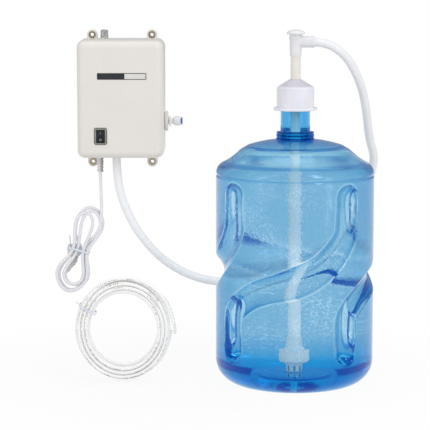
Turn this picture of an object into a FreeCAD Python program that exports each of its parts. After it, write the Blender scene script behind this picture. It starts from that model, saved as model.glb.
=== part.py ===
import FreeCAD, Part
import math
import os

# Bottled water pump system. Millimetres, +Z up, +Y into the wall.
# The origin is the centre of the case's four wall holes, on the wall's face.
# The pump case hangs on the wall, and the bottle stands on the floor in front of it.

# Driving dimensions

# Wall holes and their ears
hole_pitch_x = 105.7
ear_reach = 9.75
ear_d = 18.6
ear_depth = 8.0
ear_edge_r = 1.2
eyelet_bore = 6.2
eyelet_d = 9.0
eyelet_flange_d = 12.4
eyelet_flange_t = 1.2

# Pump case, two shells that meet on the plane of the fittings
case_w = 152.0
case_h = 206.0
case_depth = 100.0
case_lift = 3.5
case_wall = 2.8
case_corner_r = 14.0
case_edge_r = 13.0
case_taper = 2.0
case_taper_l = 30.0
fittings_y = -50.0
case_seal_t = 0.8
post_d = 10.0
post_inset = 12.0
cover_screw_d = 3.0
cover_screw_head_d = 6.0
cover_screw_head_t = 2.4
cover_screw_shelf = 6.0
cover_screw_bite = 14.0

# Name plate on the front
plate_w = 85.0
plate_h = 11.2
plate_x = 3.1
plate_z = 44.3
plate_t = 0.8
plate_proud = 0.35
plate_corner_r = 1.6

# Rocker switch
switch_x = -34.1
switch_z = -59.5
bezel_w = 22.6
bezel_h = 29.5
bezel_proud = 0.8
bezel_recess = 1.2
bezel_r = 3.4
switch_body_w = 18.6
switch_body_h = 25.6
switch_body_depth = 19.0
rocker_w = 13.7
rocker_h = 21.0
rocker_tilt_deg = 8.0
rocker_proud = 1.6
rocker_dip = 1.0
rocker_side = 2.6
rocker_depth = 6.5
rocker_pivot_depth = 3.4
rocker_pin_d = 2.4
rocker_pin_bite = 1.5
terminal_w = 4.8
terminal_t = 0.8
terminal_l = 8.0
terminal_pitch = 7.0

# Overload reset on the top
reset_x = -31.0
reset_y = -14.0
reset_barrel_d = 13.6
reset_barrel_h = 14.6
reset_flutes = 12
reset_flute_d = 2.2
reset_neck_d = 9.0
reset_neck_h = 7.0
reset_body_w = 15.0
reset_body_h = 22.0
reset_button_d = 6.6
reset_button_proud = 0.6
reset_travel = 2.0

# Outlet push fitting on the right side
outlet_z = -36.8
outlet_flange_d = 35.0
outlet_flange_t = 5.4
outlet_seal_t = 0.8
outlet_tail_d = 18.0
outlet_nut_af = 24.0
outlet_nut_t = 4.0
outlet_tail_spare = 1.0
outlet_elbow_w = 14.0
outlet_thread_d = 12.0
outlet_thread_l = 6.0
outlet_thread_gap = 1.4
outlet_collar_d = 17.6
outlet_collar_t = 3.3
outlet_neck_d = 9.6
outlet_neck_l = 3.8
outlet_body_d = 16.4
outlet_body_l = 13.3
outlet_body_r = 4.5
tube_d = 6.35
socket_depth = 12.0
oring_t = 1.8
oring_depth = 7.6
collet_d = 9.0
collet_depth = 7.0
collet_flange_d = 13.5
collet_flange_t = 2.2
collet_travel = 1.2
barb_d = 8.0
barb_groove = 0.5
barb_bore = 4.0
barb_l = 12.0
barb_ridges = 3

# Suction hose and its way out of the case
hose_d = 14.7
hose_bore = 10.4
hose_x = -9.2
gland_flange_d = 22.0
gland_flange_t = 1.4
gland_wall = 1.6

# Power cord and strain relief
cord_d = 5.8
relief_x = -38.0
relief_d = 13.0
relief_tip_d = 11.0
relief_l = 27.1
relief_grooves = 4
relief_groove_depth = 1.2
relief_thread_d = 11.0
relief_inner_l = 6.0
cord_inner_l = 3.0
cord_straight_z = -136.0

# Motor inside the case
pump_x = 7.0
motor_d = 60.0
motor_wall = 2.0
motor_l = 70.0
magnet_t = 6.0
magnet_l = 50.0
magnet_arc_deg = 120.0
air_gap = 0.6
shaft_d = 6.0
bearing_d = 19.0
bearing_w = 6.0
core_l = 40.0
core_slots = 7
core_slot_w = 5.0
core_slot_depth = 10.0
winding_rise = 5.0
commutator_d = 16.0
commutator_l = 10.0
brush_w = 5.0
brush_l = 9.0
end_bell_t = 8.0

# Pump head under the motor
head_w = 56.0
head_r = 8.0
drive_h = 26.0
drive_wall = 4.0
diaphragm_t = 2.0
diaphragm_boss_d = 9.0
diaphragm_boss_h = 4.0
chamber_count = 3
chamber_d = 17.0
chamber_circle_r = 13.5
chamber_depth = 4.0
valve_plate_t = 8.0
valve_hole_d = 3.0
pump_cover_h = 18.0
pump_cover_floor = 6.0
pump_base_z = -77.0
eccentric_throw = 1.5
eccentric_d = 12.0
eccentric_h = 8.0
wobble_d = 44.0
wobble_t = 4.0
wobble_ring_t = 2.5
pump_screw_d = 4.0
pump_screw_head_d = 7.0
pump_screw_head_t = 3.0
pump_screw_bite = 12.0
pump_screw_inset = 6.5

# What carries the pump
bracket_t = 2.0
bracket_w = 64.0
bracket_h = 62.0
bracket_z = 14.0
cradle_w = 40.0
cradle_h = 46.0
cradle_hug = 8.0
band_w = 12.0
band_t = 1.2
band_lug = 8.0
pad_d = 12.0
pad_pitch_x = 48.0
pad_pitch_z = 46.0

# Pressure switch on the pump head
sensor_w = 14.0
sensor_l = 18.0
sensor_h = 13.0
plunger_d = 3.0
plunger_l = 7.0
plunger_travel = 0.8
sensor_port_d = 4.0

# Power board
board_w = 42.0
board_h = 76.0
board_t = 1.6
board_wall_gap = 4.2
board_z = 24.0
board_standoff = 6.0
board_inset = 4.0
standoff_d = 6.0
board_screw_d = 2.5
board_screw_head_d = 4.6
board_screw_head_t = 1.6
transformer_w = 32.0
transformer_h = 28.0
transformer_t = 24.0
transformer_bobbin = 5.0
transformer_rise = 18.0
capacitor_d = 11.0
capacitor_l = 17.0
terminal_block_w = 28.0
terminal_block_h = 10.0
terminal_block_t = 10.0
terminal_hole_d = 3.0
part_drop = 22.0
wire_d = 1.8

# Bottle, its axis, and the floor under it
bottle_x = 301.0
bottle_y = -160.0
floor_z = -478.5
bottle_d = 270.0
bottle_wall = 2.2
bottle_corner_r = 42.5
push_up = 22.3
push_up_d = 100.0
foot_ring_w = 8.0
body_h = 362.0
shoulder_r = 20.0
crease_deg = 68.0
dome_run_in = 24.0
dome_rise = 17.0
dome_run_up = 14.0
dome_lip_rise = 9.5
ring_step = 3.0
crown_rise = 9.5
dome_sag = 1.2
neck_ring_d = 64.5
neck_ring_h = 13.5
neck_d = 50.2
neck_h = 57.0
neck_bore = 44.0
lip_d = 57.0
lip_h = 14.0

# The bottle's grip grooves
groove_count = 4
groove_w = 47.0
groove_depth = 14.0
groove_way = ((42, 330, 90), (42, 275, 90), (17, 215, 38), (-10, 186, 18), (-32, 170, 22),
              (-53, 125, 90), (-53, 72, 90))

# Suction wand, from the foot valve up
foot_clearance = 0.3
strainer_d = 24.2
strainer_tip_d = 21.0
strainer_h = 16.2
strainer_wall = 2.2
strainer_slots = 8
slot_w = 2.6
slot_h = 9.0
barrel_d = 39.0
barrel_h = 20.5
barrel_wall = 3.2
seat_t = 3.0
seat_d = 14.0
adapter_ring_d = 26.4
adapter_ring_h = 5.2
adapter_sleeve_d = 22.1
adapter_sleeve_h = 17.0
adapter_plug_h = 5.5
adapter_lap = 15.0
foot_seal_t = 1.6
poppet_d = 20.0
poppet_t = 2.6
poppet_guide_d = 8.0
poppet_guide_l = 8.0
spring_wire_d = 0.9
spring_turns = 4
spring_d = 15.6
stem_d = 16.9
stem_bore = 13.0

# Tee on top of the wand, above the bottle's mouth
tee_rise = 71.6
tee_h = 35.9
tee_top_d = 21.5
tee_bottom_d = 19.4
tee_lap = 14.0
tee_band_d = 22.6
tee_band_h = 2.0
tee_band_drop = 7.2
arm_drop = 12.6
arm_d = 19.5
arm_reach = 31.9
arm_lap = 14.0
knob_d = 30.6
knob_rim_t = 2.4
knob_h = 8.3
knob_plug_d = 12.0
knob_plug_l = 6.0

# Cap on the bottle's mouth
cap_d = 63.3
cap_wall = 2.2
cap_drop = 20.6
cap_flange_d = 74.8
cap_flange_t = 4.4
cap_seat_t = 3.0
cap_rise = 14.3
cap_cone_h = 12.2
cap_cone_d = 60.0
cap_top_d = 21.0
cap_gasket_t = 2.0

# Coil of delivery tubing, standing on the floor
coil_x = 7.0
coil_y = -160.0
coil_outer_r = 90.0
coil_squeeze = 0.9
coil_pitch = 8.0
coil_layer_turns = 3.25
coil_layers = 4
coil_layer_gap = 0.75
coil_start_deg = -3.5
coil_rest = 0.15
coil_tie_w = 3.0
coil_tie_t = 0.8
coil_tie_tail = 8.0
coil_tie_deg = 153.0

# Hank of power cord, and the plug that is tucked behind it
hank_x = -76.0
hank_y = -51.0
hank_z = -266.0
hank_tilt_deg = 16.0
hank_top_h = 76.0
hank_low_h = 78.0
hank_top_half_w = 26.0
hank_low_half_w = 28.5
hank_waist_half_w = 15.0
hank_roundness = 1.15
hank_step = 7.2
hank_layer = 6.6
hank_entry_deg = 5.0
hank_entry_l = 34.0
plug_u = -4.1
plug_v = -14.7
plug_y = -34.5
plug_tilt_deg = -6.0
plug_w = 26.0
plug_depth = 17.0
plug_l = 21.0
plug_face_w = 22.0
plug_sleeve_u = -11.7
plug_sleeve_v = -44.9
plug_sleeve_tilt_deg = 30.0
plug_sleeve_d = 8.0
plug_sleeve_ring_d = 9.8
plug_sleeve_rings = 5
blade_pitch = 12.7
blade_w = 6.35
blade_t = 1.5
blade_l = 16.0
blade_hole_d = 3.2
tie_w = 3.2
tie_t = 0.9

# Clearances
slip = 0.15
clear = 0.35
press = 0.02
running = 0.05

V = FreeCAD.Vector
X_AXIS, Y_AXIS, Z_AXIS = V(1, 0, 0), V(0, 1, 0), V(0, 0, 1)

# Places that follow from the sizes
hole_pitch_z = case_h + 2 * ear_reach
case_top = case_lift + case_h / 2
case_bottom = case_lift - case_h / 2
case_front = -case_depth
case_side = case_w / 2
head_side = pump_x + head_w / 2
cover_z = pump_base_z + pump_cover_h
diaphragm_z = cover_z + valve_plate_t
drive_z = diaphragm_z + diaphragm_t
bell_z = drive_z + drive_h
can_z = bell_z + end_bell_t
can_top = can_z + motor_l
outlet_x = case_side + outlet_seal_t + outlet_flange_t
elbow_x = case_side - case_wall - outlet_nut_t - outlet_tail_spare - outlet_elbow_w / 2
port_z = pump_base_z + pump_cover_h / 2
outlet_end = outlet_x + outlet_thread_gap + outlet_collar_t + outlet_neck_l + outlet_body_l
bottle_r = bottle_d / 2
bottle_axis = V(bottle_x, bottle_y, 0)
crease_r = bottle_r - shoulder_r * (1 - math.cos(math.radians(crease_deg)))
crease_h = body_h + shoulder_r * math.sin(math.radians(crease_deg))
dome_mid_r = crease_r - dome_run_in
dome_mid_h = crease_h + dome_rise
dome_ring_r = dome_mid_r - dome_run_up
dome_ring_h = dome_mid_h + dome_lip_rise
neck_base_h = dome_ring_h + ring_step + crown_rise
mouth_z = floor_z + neck_base_h + neck_h + neck_ring_h
foot_z = floor_z + push_up + bottle_wall + foot_clearance
barrel_z = foot_z + strainer_h
adapter_z = barrel_z + barrel_h
sleeve_z = adapter_z + adapter_ring_h
stem_z = sleeve_z + adapter_sleeve_h - adapter_lap
tee_z = mouth_z + tee_rise
tee_top = tee_z + tee_h
arm_z = tee_top - arm_drop
stem_top = tee_z + tee_lap
cap_seat_z = mouth_z + cap_gasket_t
cap_low_z = mouth_z - cap_drop
cap_shoulder_z = cap_seat_z + cap_seat_t + cap_rise


# Shared forms

def rod(d, start, axis, length):
    return Part.makeCylinder(d / 2, length, start, axis)


def ring(d_out, d_in, start, axis, length):
    return rod(d_out, start, axis, length).cut(rod(d_in, start, axis, length))


def turned(outline, start, axis=Z_AXIS):
    """A solid of revolution from (radius, distance along the axis) points."""
    corners = [V(r, 0, a) for r, a in outline]
    face = Part.Face(Part.makePolygon(corners + corners[:1]))
    solid = face.revolve(V(0, 0, 0), Z_AXIS, 360)
    solid.Placement = FreeCAD.Placement(start, FreeCAD.Rotation(Z_AXIS, axis))
    return solid


def block(x0, x1, y0, y1, z0, z1):
    return Part.makeBox(x1 - x0, y1 - y0, z1 - z0, V(x0, y0, z0))


def block_at(x, y, z, w, depth, h):
    """A block of width, depth and height round its centre."""
    return block(x - w / 2, x + w / 2, y - depth / 2, y + depth / 2, z - h / 2, z + h / 2)


def edges_along(solid, axis):
    found = []
    for edge in solid.Edges:
        if isinstance(edge.Curve, Part.Line) and abs(edge.Curve.Direction.dot(axis)) > 0.99:
            found.append(edge)
    return found


def rounded_slab(w, h, r, y_front, y_back, x=0.0, z=0.0):
    """A slab with rounded corners, seen from the front, between two depths."""
    slab = block(x - w / 2, x + w / 2, y_front, y_back, z - h / 2, z + h / 2)
    return slab.makeFillet(r, edges_along(slab, Y_AXIS))


def front_edges(solid):
    """The edges round the front face."""
    return [e for e in solid.Edges if e.BoundBox.YMax < solid.BoundBox.YMin + 1e-4]


def hexagon(across_flats, start, axis, length):
    radius = across_flats / math.sqrt(3)
    turns = [math.radians(60 * k) for k in range(7)]
    corners = [V(radius * math.cos(a), radius * math.sin(a), 0) for a in turns]
    solid = Part.Face(Part.makePolygon(corners)).extrude(V(0, 0, length))
    solid.Placement = FreeCAD.Placement(start, FreeCAD.Rotation(Z_AXIS, axis))
    return solid


def joined(*shapes):
    return shapes[0].fuse(list(shapes[1:])).removeSplitter()


def group(shapes):
    return Part.Compound(list(shapes))


def around(solid, centre, count, first_deg=0.0):
    """Copies of a solid turned about a vertical axis."""
    copies = []
    for k in range(count):
        copy = solid.copy()
        copy.rotate(centre, Z_AXIS, first_deg + 360 * k / count)
        copies.append(copy)
    return copies


def polar(centre, r, deg, z):
    return V(centre.x + r * math.cos(math.radians(deg)), centre.y + r * math.sin(math.radians(deg)), z)


# Paths and the round bars along them

def arc_between(start, tangent, end):
    """The arc that leaves start along tangent and ends at end, and its radius."""
    chord = end - start
    normal = tangent.cross(chord)
    if normal.Length < 1e-7 * chord.Length:
        return Part.LineSegment(start, end).toShape(), math.inf
    inward = normal.cross(tangent)
    inward.normalize()
    radius = chord.dot(chord) / (2 * chord.dot(inward))
    angle = math.atan2(chord.dot(tangent), radius - chord.dot(inward)) % (2 * math.pi)
    out = inward * (radius * (1 - math.cos(angle / 2)))
    middle = start + out + tangent * (radius * math.sin(angle / 2))
    return Part.Arc(start, middle, end).toShape(), radius


def biarc(p, t, q, u):
    """Two arcs from p along t to q along u, and their radii."""
    chord = q - p
    spread = 2 * (1 - t.dot(u))
    along = 2 * chord.dot(t + u)
    if spread < 1e-9:
        reach = chord.dot(chord) / along
    else:
        reach = (math.sqrt(along ** 2 / 4 + spread * chord.dot(chord)) - along / 2) / spread
    knot = (p + t * reach + q - u * reach) * 0.5
    first, first_r = arc_between(p, t, knot)
    second, second_r = arc_between(q, u * -1, knot)
    return [first, second], min(first_r, second_r)


def wound_wire(places, name, d):
    """A smooth wire through (point, direction) places. It prints its tightest bend."""
    edges, tightest = [], math.inf
    for (p, t), (q, u) in zip(places, places[1:]):
        pair, radius = biarc(p, t, q, u)
        edges += pair
        tightest = min(tightest, radius)
    print(f"{name}: tightest radius {tightest:.1f} mm in a {d:.2f} mm wire")
    return Part.Wire(edges)


def route_wire(points, name):
    """Straight runs joined by tangent arcs, each as large as its runs allow."""
    corners = [V(*p) for p in points]
    edges, radii, at = [], [], corners[0]
    for before, corner, after in zip(corners, corners[1:], corners[2:]):
        back, ahead = before - corner, after - corner
        run = min(back.Length, ahead.Length)
        back.normalize()
        ahead.normalize()
        half_turn = (math.pi - back.getAngle(ahead)) / 2
        setback = 0.45 * run
        radii.append(setback / math.tan(half_turn))
        inward = back + ahead
        inward.normalize()
        centre = corner + inward * (setback / math.sin(half_turn))
        start, end = corner + back * setback, corner + ahead * setback
        edges.append(Part.LineSegment(at, start).toShape())
        edges.append(Part.Arc(start, centre - inward * radii[-1], end).toShape())
        at = end
    edges.append(Part.LineSegment(at, corners[-1]).toShape())
    wire = Part.Wire(edges)
    print(f"{name}: {wire.Length:.0f} mm long, radii " + " ".join(f"{r:.0f}" for r in radii))
    return wire


def bar_along(wire, start, tangent, d, name=None):
    """A round bar along a wire, whose volume is compared with its section times its length."""
    section = Part.Wire(Part.makeCircle(d / 2, start, tangent))
    bar = wire.makePipeShell([section], True, False)
    if bar.Volume < 0:
        bar.reverse()
    if name:
        ideal = math.pi * d ** 2 / 4 * wire.Length
        print(f"{name}: volume {bar.Volume / ideal:.4f} of its section times its length")
    return bar


def tube_along(points, d, bore, name):
    """A round tube, or with no bore a cord, along a route."""
    wire = route_wire(points, name)
    start = V(*points[0])
    tangent = V(*points[1]) - start
    outer = bar_along(wire, start, tangent, d, name)
    if not bore:
        return outer
    return outer.cut(bar_along(wire, start, tangent, bore))


def least_gap(wire, d):
    """The least gap between stretches of a wound bar that lie apart along it."""
    spacing = 2.0
    points = []
    for edge in wire.OrderedEdges:
        stretch = edge.discretize(max(2, int(edge.Length / spacing)))
        if points and (stretch[-1] - points[-1]).Length < (stretch[0] - points[-1]).Length:
            stretch.reverse()
        points += stretch
    apart = int(2.5 * d * math.pi / spacing)
    cell = 2 * d
    cells = {}
    for i, p in enumerate(points):
        cells.setdefault((p.x // cell, p.y // cell, p.z // cell), []).append(i)
    steps = [(i, j, k) for i in (-1, 0, 1) for j in (-1, 0, 1) for k in (-1, 0, 1)]
    least = cell
    for i, p in enumerate(points):
        for a, b, c in steps:
            near = cells.get((p.x // cell + a, p.y // cell + b, p.z // cell + c), [])
            for j in near:
                if j - i > apart:
                    least = min(least, (points[j] - p).Length)
    return least - d


def wound_bar(places, d, name):
    wire = wound_wire(places, name, d)
    bar = bar_along(wire, places[0][0], places[0][1], d, name)
    print(f"{name}: {wire.Length:.0f} mm long, least gap to itself {least_gap(wire, d):.2f} mm")
    return bar


# Case

def case_block(inset, y_back):
    """The case's outside, or at an inset its inside. Towards the front its sides taper."""
    w, h, r = case_w - 2 * inset, case_h - 2 * inset, case_corner_r - inset
    taper_y = case_front + case_taper_l
    slab = rounded_slab(w, h, r, taper_y, y_back, z=case_lift)
    rings = [rounded_ring(w, h, r, taper_y), rounded_ring(w - 2 * case_taper, h - 2 * case_taper,
                                                          r - case_taper, case_front + inset)]
    solid = joined(slab, Part.makeLoft(rings, True, True))
    return solid.makeFillet(case_edge_r - inset, front_edges(solid))


def rounded_ring(w, h, r, y):
    """The outline of a rounded slab at a depth."""
    slab = rounded_slab(w, h, r, y, y + 1, z=case_lift)
    face = min(slab.Faces, key=lambda f: f.CenterOfMass.y)
    return face.OuterWire


def post_places():
    x, z = case_side - post_inset, case_h / 2 - post_inset
    return [(sx * x, case_lift + sz * z) for sx in (-1, 1) for sz in (-1, 1)]


def ear_places():
    return [(sx * hole_pitch_x / 2, sz * hole_pitch_z / 2) for sx in (-1, 1) for sz in (-1, 1)]


def case_openings():
    """What passes through both shells, on the plane where they meet."""
    hose_hole = rod(hose_d + 2 * gland_wall + slip, V(hose_x, fittings_y, case_bottom - 1), Z_AXIS,
                    case_wall + 2)
    cord_hole = rod(relief_thread_d + slip, V(relief_x, fittings_y, case_bottom - 1), Z_AXIS,
                    case_wall + 2)
    outlet_hole = rod(outlet_tail_d + slip, V(case_side + 1, fittings_y, outlet_z), X_AXIS * -1,
                      case_wall + 2)
    return [hose_hole, cord_hole, outlet_hole]


def case_shell():
    """The whole hollow case with its screw posts, before it is parted."""
    outside = case_block(0, 0)
    posts = [rod(post_d, V(x, 0, z), Y_AXIS * -1, case_depth) for x, z in post_places()]
    shell = outside.cut(case_block(case_wall, -case_wall))
    shell = shell.fuse([p.common(outside) for p in posts])
    return shell.cut(case_openings())


def half_space(y_front, y_back):
    return block(-case_w, case_w, y_front, y_back, -case_h, case_h)


def ear(x, z):
    """One screw ear, blended into the edge of the case."""
    edge_z = (case_top if z > 0 else case_bottom) - math.copysign(case_wall / 2, z)
    pad = rod(ear_d, V(x, 0, z), Y_AXIS * -1, ear_depth)
    web = block(x - ear_d / 2, x + ear_d / 2, -ear_depth, 0, min(z, edge_z), max(z, edge_z))
    solid = joined(pad, web)
    rim = [e for e in front_edges(solid) if (e.CenterOfMass - V(x, 0, edge_z)).z * z > 0.5]
    return solid.makeFillet(ear_edge_r, rim)


def make_back_shell():
    shell = case_shell().common(half_space(fittings_y + case_seal_t / 2, 1))
    shell = shell.fuse([ear(x, z) for x, z in ear_places()])
    shell = shell.fuse([rod(standoff_d, V(x, -case_wall, z), Y_AXIS * -1, board_standoff)
                        for x, z in board_screw_places()])
    cuts = [rod(eyelet_d, V(x, 1, z), Y_AXIS * -1, ear_depth + 2) for x, z in ear_places()]
    for x, z in post_places():
        head_y = fittings_y + cover_screw_shelf
        cuts.append(rod(cover_screw_head_d + 2 * clear, V(x, 1, z), Y_AXIS * -1, 1 - head_y))
        cuts.append(rod(cover_screw_d + 2 * slip, V(x, 1, z), Y_AXIS * -1, 1 - fittings_y))
    for x, z in board_screw_places():
        cuts.append(rod(board_screw_d, V(x, -case_wall - board_standoff - 1, z), Y_AXIS,
                        board_standoff + 1))
    cuts.append(rod(reset_neck_d + 2 * slip, V(reset_x, reset_y, case_top + 1), Z_AXIS * -1,
                    case_wall + 2))
    return shell.cut(cuts)


def make_front_cover():
    shell = case_shell().common(half_space(case_front - 1, fittings_y - case_seal_t / 2))
    cuts = [rod(cover_screw_d, V(x, fittings_y + 1, z), Y_AXIS * -1, cover_screw_bite + 1)
            for x, z in post_places()]
    cuts.append(rounded_slab(plate_w + 2 * slip, plate_h + 2 * slip, plate_corner_r,
                             case_front - 1, case_front + plate_t - plate_proud, plate_x, plate_z))
    cuts.append(rounded_slab(bezel_w + 2 * slip, bezel_h + 2 * slip, bezel_r,
                             case_front - 1, case_front + bezel_recess, switch_x, switch_z))
    cuts.append(block_at(switch_x, case_front, switch_z, switch_body_w + 2 * slip, 4 * case_wall,
                         switch_body_h + 2 * slip))
    return shell.cut(cuts)


def make_case_seals():
    """The gasket between the shells, as wide as their walls, and the washer behind the outlet."""
    band = half_space(fittings_y - case_seal_t / 2, fittings_y + case_seal_t / 2)
    rim = case_block(0, 0).cut(case_block(case_wall, -case_wall)).common(band)
    washer = ring(outlet_flange_d - 4 * outlet_seal_t, outlet_tail_d + slip,
                  V(case_side, fittings_y, outlet_z), X_AXIS, outlet_seal_t)
    return group(rim.cut(case_openings()).Solids + [washer])


def make_ear_eyelets():
    outline = [(eyelet_bore / 2, 0), (eyelet_d / 2, 0), (eyelet_d / 2, ear_depth),
               (eyelet_flange_d / 2, ear_depth), (eyelet_flange_d / 2, ear_depth + eyelet_flange_t),
               (eyelet_bore / 2, ear_depth + eyelet_flange_t)]
    return group(turned(outline, V(x, 0, z), Y_AXIS * -1) for x, z in ear_places())


def screw(start, axis, d, length, head_d, head_t):
    """A plain screw whose head's underside is at start."""
    head = rod(head_d, start - axis * head_t, axis, head_t)
    drive = hexagon(head_d * 0.45, start - axis * head_t, axis, head_t * 0.6)
    return joined(head, rod(d, start, axis, length)).cut(drive)


def cover_screws():
    length = cover_screw_shelf + cover_screw_bite - 1
    head_y = fittings_y + cover_screw_shelf
    return [screw(V(x, head_y, z), Y_AXIS * -1, cover_screw_d, length, cover_screw_head_d,
                  cover_screw_head_t) for x, z in post_places()]


def make_name_plate():
    back = case_front + plate_t - plate_proud
    plate = rounded_slab(plate_w, plate_h, plate_corner_r, back - plate_t, back, plate_x, plate_z)
    return plate.makeFillet(plate_proud / 2, front_edges(plate))


# Rocker switch

switch_front = case_front - bezel_proud
rocker_axis = V(switch_x, switch_front + rocker_pivot_depth, switch_z)


def make_switch_housing():
    """The bezel and the body behind it with its blades, open at the front for the rocker."""
    back = case_front + bezel_recess
    bezel = rounded_slab(bezel_w, bezel_h, bezel_r, switch_front, back, switch_x, switch_z)
    bezel = bezel.makeFillet(bezel_proud * 0.6, front_edges(bezel))
    body = block(switch_x - switch_body_w / 2, switch_x + switch_body_w / 2, back,
                 switch_front + switch_body_depth, switch_z - switch_body_h / 2,
                 switch_z + switch_body_h / 2)
    well = block(switch_x - rocker_w / 2 - clear, switch_x + rocker_w / 2 + clear, switch_front - 1,
                 switch_front + rocker_pivot_depth + rocker_depth + 2 * clear,
                 switch_z - rocker_h / 2 - 2 * clear, switch_z + rocker_h / 2 + 2 * clear)
    pin_l = rocker_w + 2 * (clear + rocker_pin_bite)
    pin_hole = rod(rocker_pin_d + 2 * running, rocker_axis - X_AXIS * (pin_l / 2 + clear), X_AXIS,
                   pin_l + 2 * clear)
    blades = [block_at(switch_x, switch_front + switch_body_depth + terminal_l / 2,
                       switch_z + k * terminal_pitch, terminal_w, terminal_l, terminal_t)
              for k in (-1, 0, 1)]
    return joined(bezel, body, *blades).cut([well, pin_hole])


def make_rocker():
    """The rocker with its pin, pressed in at the top."""
    half = rocker_h / 2
    outline = [(half, -rocker_proud), (0, -rocker_proud + rocker_dip), (-half, -rocker_proud),
               (-half, rocker_side), (-half * 0.45, rocker_depth), (half * 0.45, rocker_depth),
               (half, rocker_side)]
    corners = [V(switch_x - rocker_w / 2, switch_front + y, switch_z + z) for z, y in outline]
    body = Part.Face(Part.makePolygon(corners + corners[:1])).extrude(V(rocker_w, 0, 0))
    pin_l = rocker_w + 2 * (clear + rocker_pin_bite)
    rocker = joined(body, rod(rocker_pin_d, rocker_axis - X_AXIS * (pin_l / 2), X_AXIS, pin_l))
    rocker.rotate(rocker_axis, X_AXIS, -rocker_tilt_deg)
    return rocker


# Overload reset

def make_reset_barrel():
    outline = [(reset_neck_d / 2 + slip, 0), (reset_barrel_d / 2, 0),
               (reset_barrel_d / 2, reset_barrel_h - 1), (reset_barrel_d / 2 - 1, reset_barrel_h),
               (reset_button_d / 2 + slip, reset_barrel_h),
               (reset_button_d / 2 + slip, reset_neck_h), (reset_neck_d / 2 + slip, reset_neck_h)]
    barrel = turned(outline, V(reset_x, reset_y, case_top))
    flute = rod(reset_flute_d, V(reset_x + reset_barrel_d / 2 + reset_flute_d / 4, reset_y, case_top),
                Z_AXIS, reset_barrel_h)
    return barrel.cut(around(flute, V(reset_x, reset_y, case_top), reset_flutes))


def make_reset_body():
    inside_top = case_top - case_wall
    body = block_at(reset_x, reset_y, inside_top - reset_body_h / 2, reset_body_w, reset_body_w,
                    reset_body_h)
    neck = rod(reset_neck_d, V(reset_x, reset_y, inside_top), Z_AXIS,
               case_wall + reset_neck_h - reset_travel - clear)
    blades = [block_at(reset_x + k * reset_body_w / 4, reset_y, inside_top - reset_body_h - terminal_l / 2,
                       terminal_t, terminal_w, terminal_l) for k in (-1, 1)]
    return joined(body, neck, *blades)


def make_reset_button():
    length = reset_barrel_h - reset_neck_h + reset_button_proud
    button = rod(reset_button_d - 2 * slip, V(reset_x, reset_y, case_top + reset_neck_h), Z_AXIS, length)
    top = [e for e in button.Edges if e.BoundBox.ZMin > button.BoundBox.ZMax - 1e-4]
    return button.makeFillet(reset_button_proud, top)


# Outlet push fitting

def ridged_barb(start, axis, d, bore, length):
    """A hose barb with shallow ridges that points along its axis."""
    step = length / barb_ridges
    outline = [(bore / 2, 0)]
    for k in range(barb_ridges):
        outline.append((d / 2, k * step))
        outline.append((d / 2, k * step + step / 3))
        outline.append((d / 2 - barb_groove, k * step + step))
    outline.append((bore / 2, length))
    return turned(outline, start, axis)


def make_outlet_flange():
    """The round flange, its tail through the case wall, and the elbow with its barb."""
    face = V(outlet_x, fittings_y, outlet_z)
    flange = rod(outlet_flange_d, face - X_AXIS * outlet_flange_t, X_AXIS, outlet_flange_t)
    flange = flange.makeChamfer(outlet_flange_t / 5, [flange.Edges[0]])
    tail = rod(outlet_tail_d, V(elbow_x, fittings_y, outlet_z), X_AXIS,
               outlet_x - outlet_flange_t - elbow_x)
    tail = tail.cut(block_at(elbow_x, fittings_y, outlet_z, outlet_elbow_w, case_h, case_h))
    elbow = block_at(elbow_x, fittings_y, outlet_z, outlet_elbow_w, outlet_elbow_w, outlet_elbow_w)
    barb_top = V(elbow_x, fittings_y, outlet_z - outlet_elbow_w / 2)
    barb = ridged_barb(barb_top, Z_AXIS * -1, barb_d, barb_bore, barb_l)
    down = rod(barb_bore, V(elbow_x, fittings_y, outlet_z), Z_AXIS * -1, outlet_elbow_w)
    along = rod(barb_bore, V(elbow_x, fittings_y, outlet_z), X_AXIS, outlet_x - elbow_x)
    socket = rod(outlet_thread_d + slip, face + X_AXIS, X_AXIS * -1, outlet_thread_l + slip + 1)
    return joined(flange, tail, elbow, barb).cut([down, along, socket])


def make_outlet_lock_nut():
    start = V(case_side - case_wall, fittings_y, outlet_z)
    nut = hexagon(outlet_nut_af, start, X_AXIS * -1, outlet_nut_t)
    return nut.cut(rod(outlet_tail_d + slip, start + X_AXIS, X_AXIS * -1, outlet_nut_t + 2))


def make_outlet_fitting():
    """The push-in body: thread, collar, neck and a rounded head with its socket."""
    start = V(outlet_x, fittings_y, outlet_z)
    collar_x = outlet_thread_gap
    neck_x = collar_x + outlet_collar_t
    head_x = neck_x + outlet_neck_l
    end_x = head_x + outlet_body_l
    thread = rod(outlet_thread_d, start - X_AXIS * outlet_thread_l, X_AXIS,
                 outlet_thread_l + outlet_thread_gap)
    collar = rod(outlet_collar_d, start + X_AXIS * collar_x, X_AXIS, outlet_collar_t)
    collar = collar.makeChamfer(outlet_collar_t / 5, [collar.Edges[0], collar.Edges[2]])
    neck = rod(outlet_neck_d, start + X_AXIS * neck_x, X_AXIS, outlet_neck_l)
    head = rod(outlet_body_d, start + X_AXIS * head_x, X_AXIS, outlet_body_l)
    rear = [e for e in head.Edges if e.BoundBox.XMax < head.BoundBox.XMin + 1e-4]
    head = head.makeFillet(outlet_body_r, rear)
    bore = [(0, -outlet_thread_l - 1), (barb_bore / 2, -outlet_thread_l - 1),
            (barb_bore / 2, end_x - socket_depth), (tube_d / 2 + press, end_x - socket_depth),
            (tube_d / 2 + press, end_x - oring_depth - oring_t),
            (collet_d / 2 + running, end_x - oring_depth - oring_t),
            (collet_d / 2 + running, end_x + 1), (0, end_x + 1)]
    return joined(thread, collar, neck, head).cut(turned(bore, start, X_AXIS))


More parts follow.
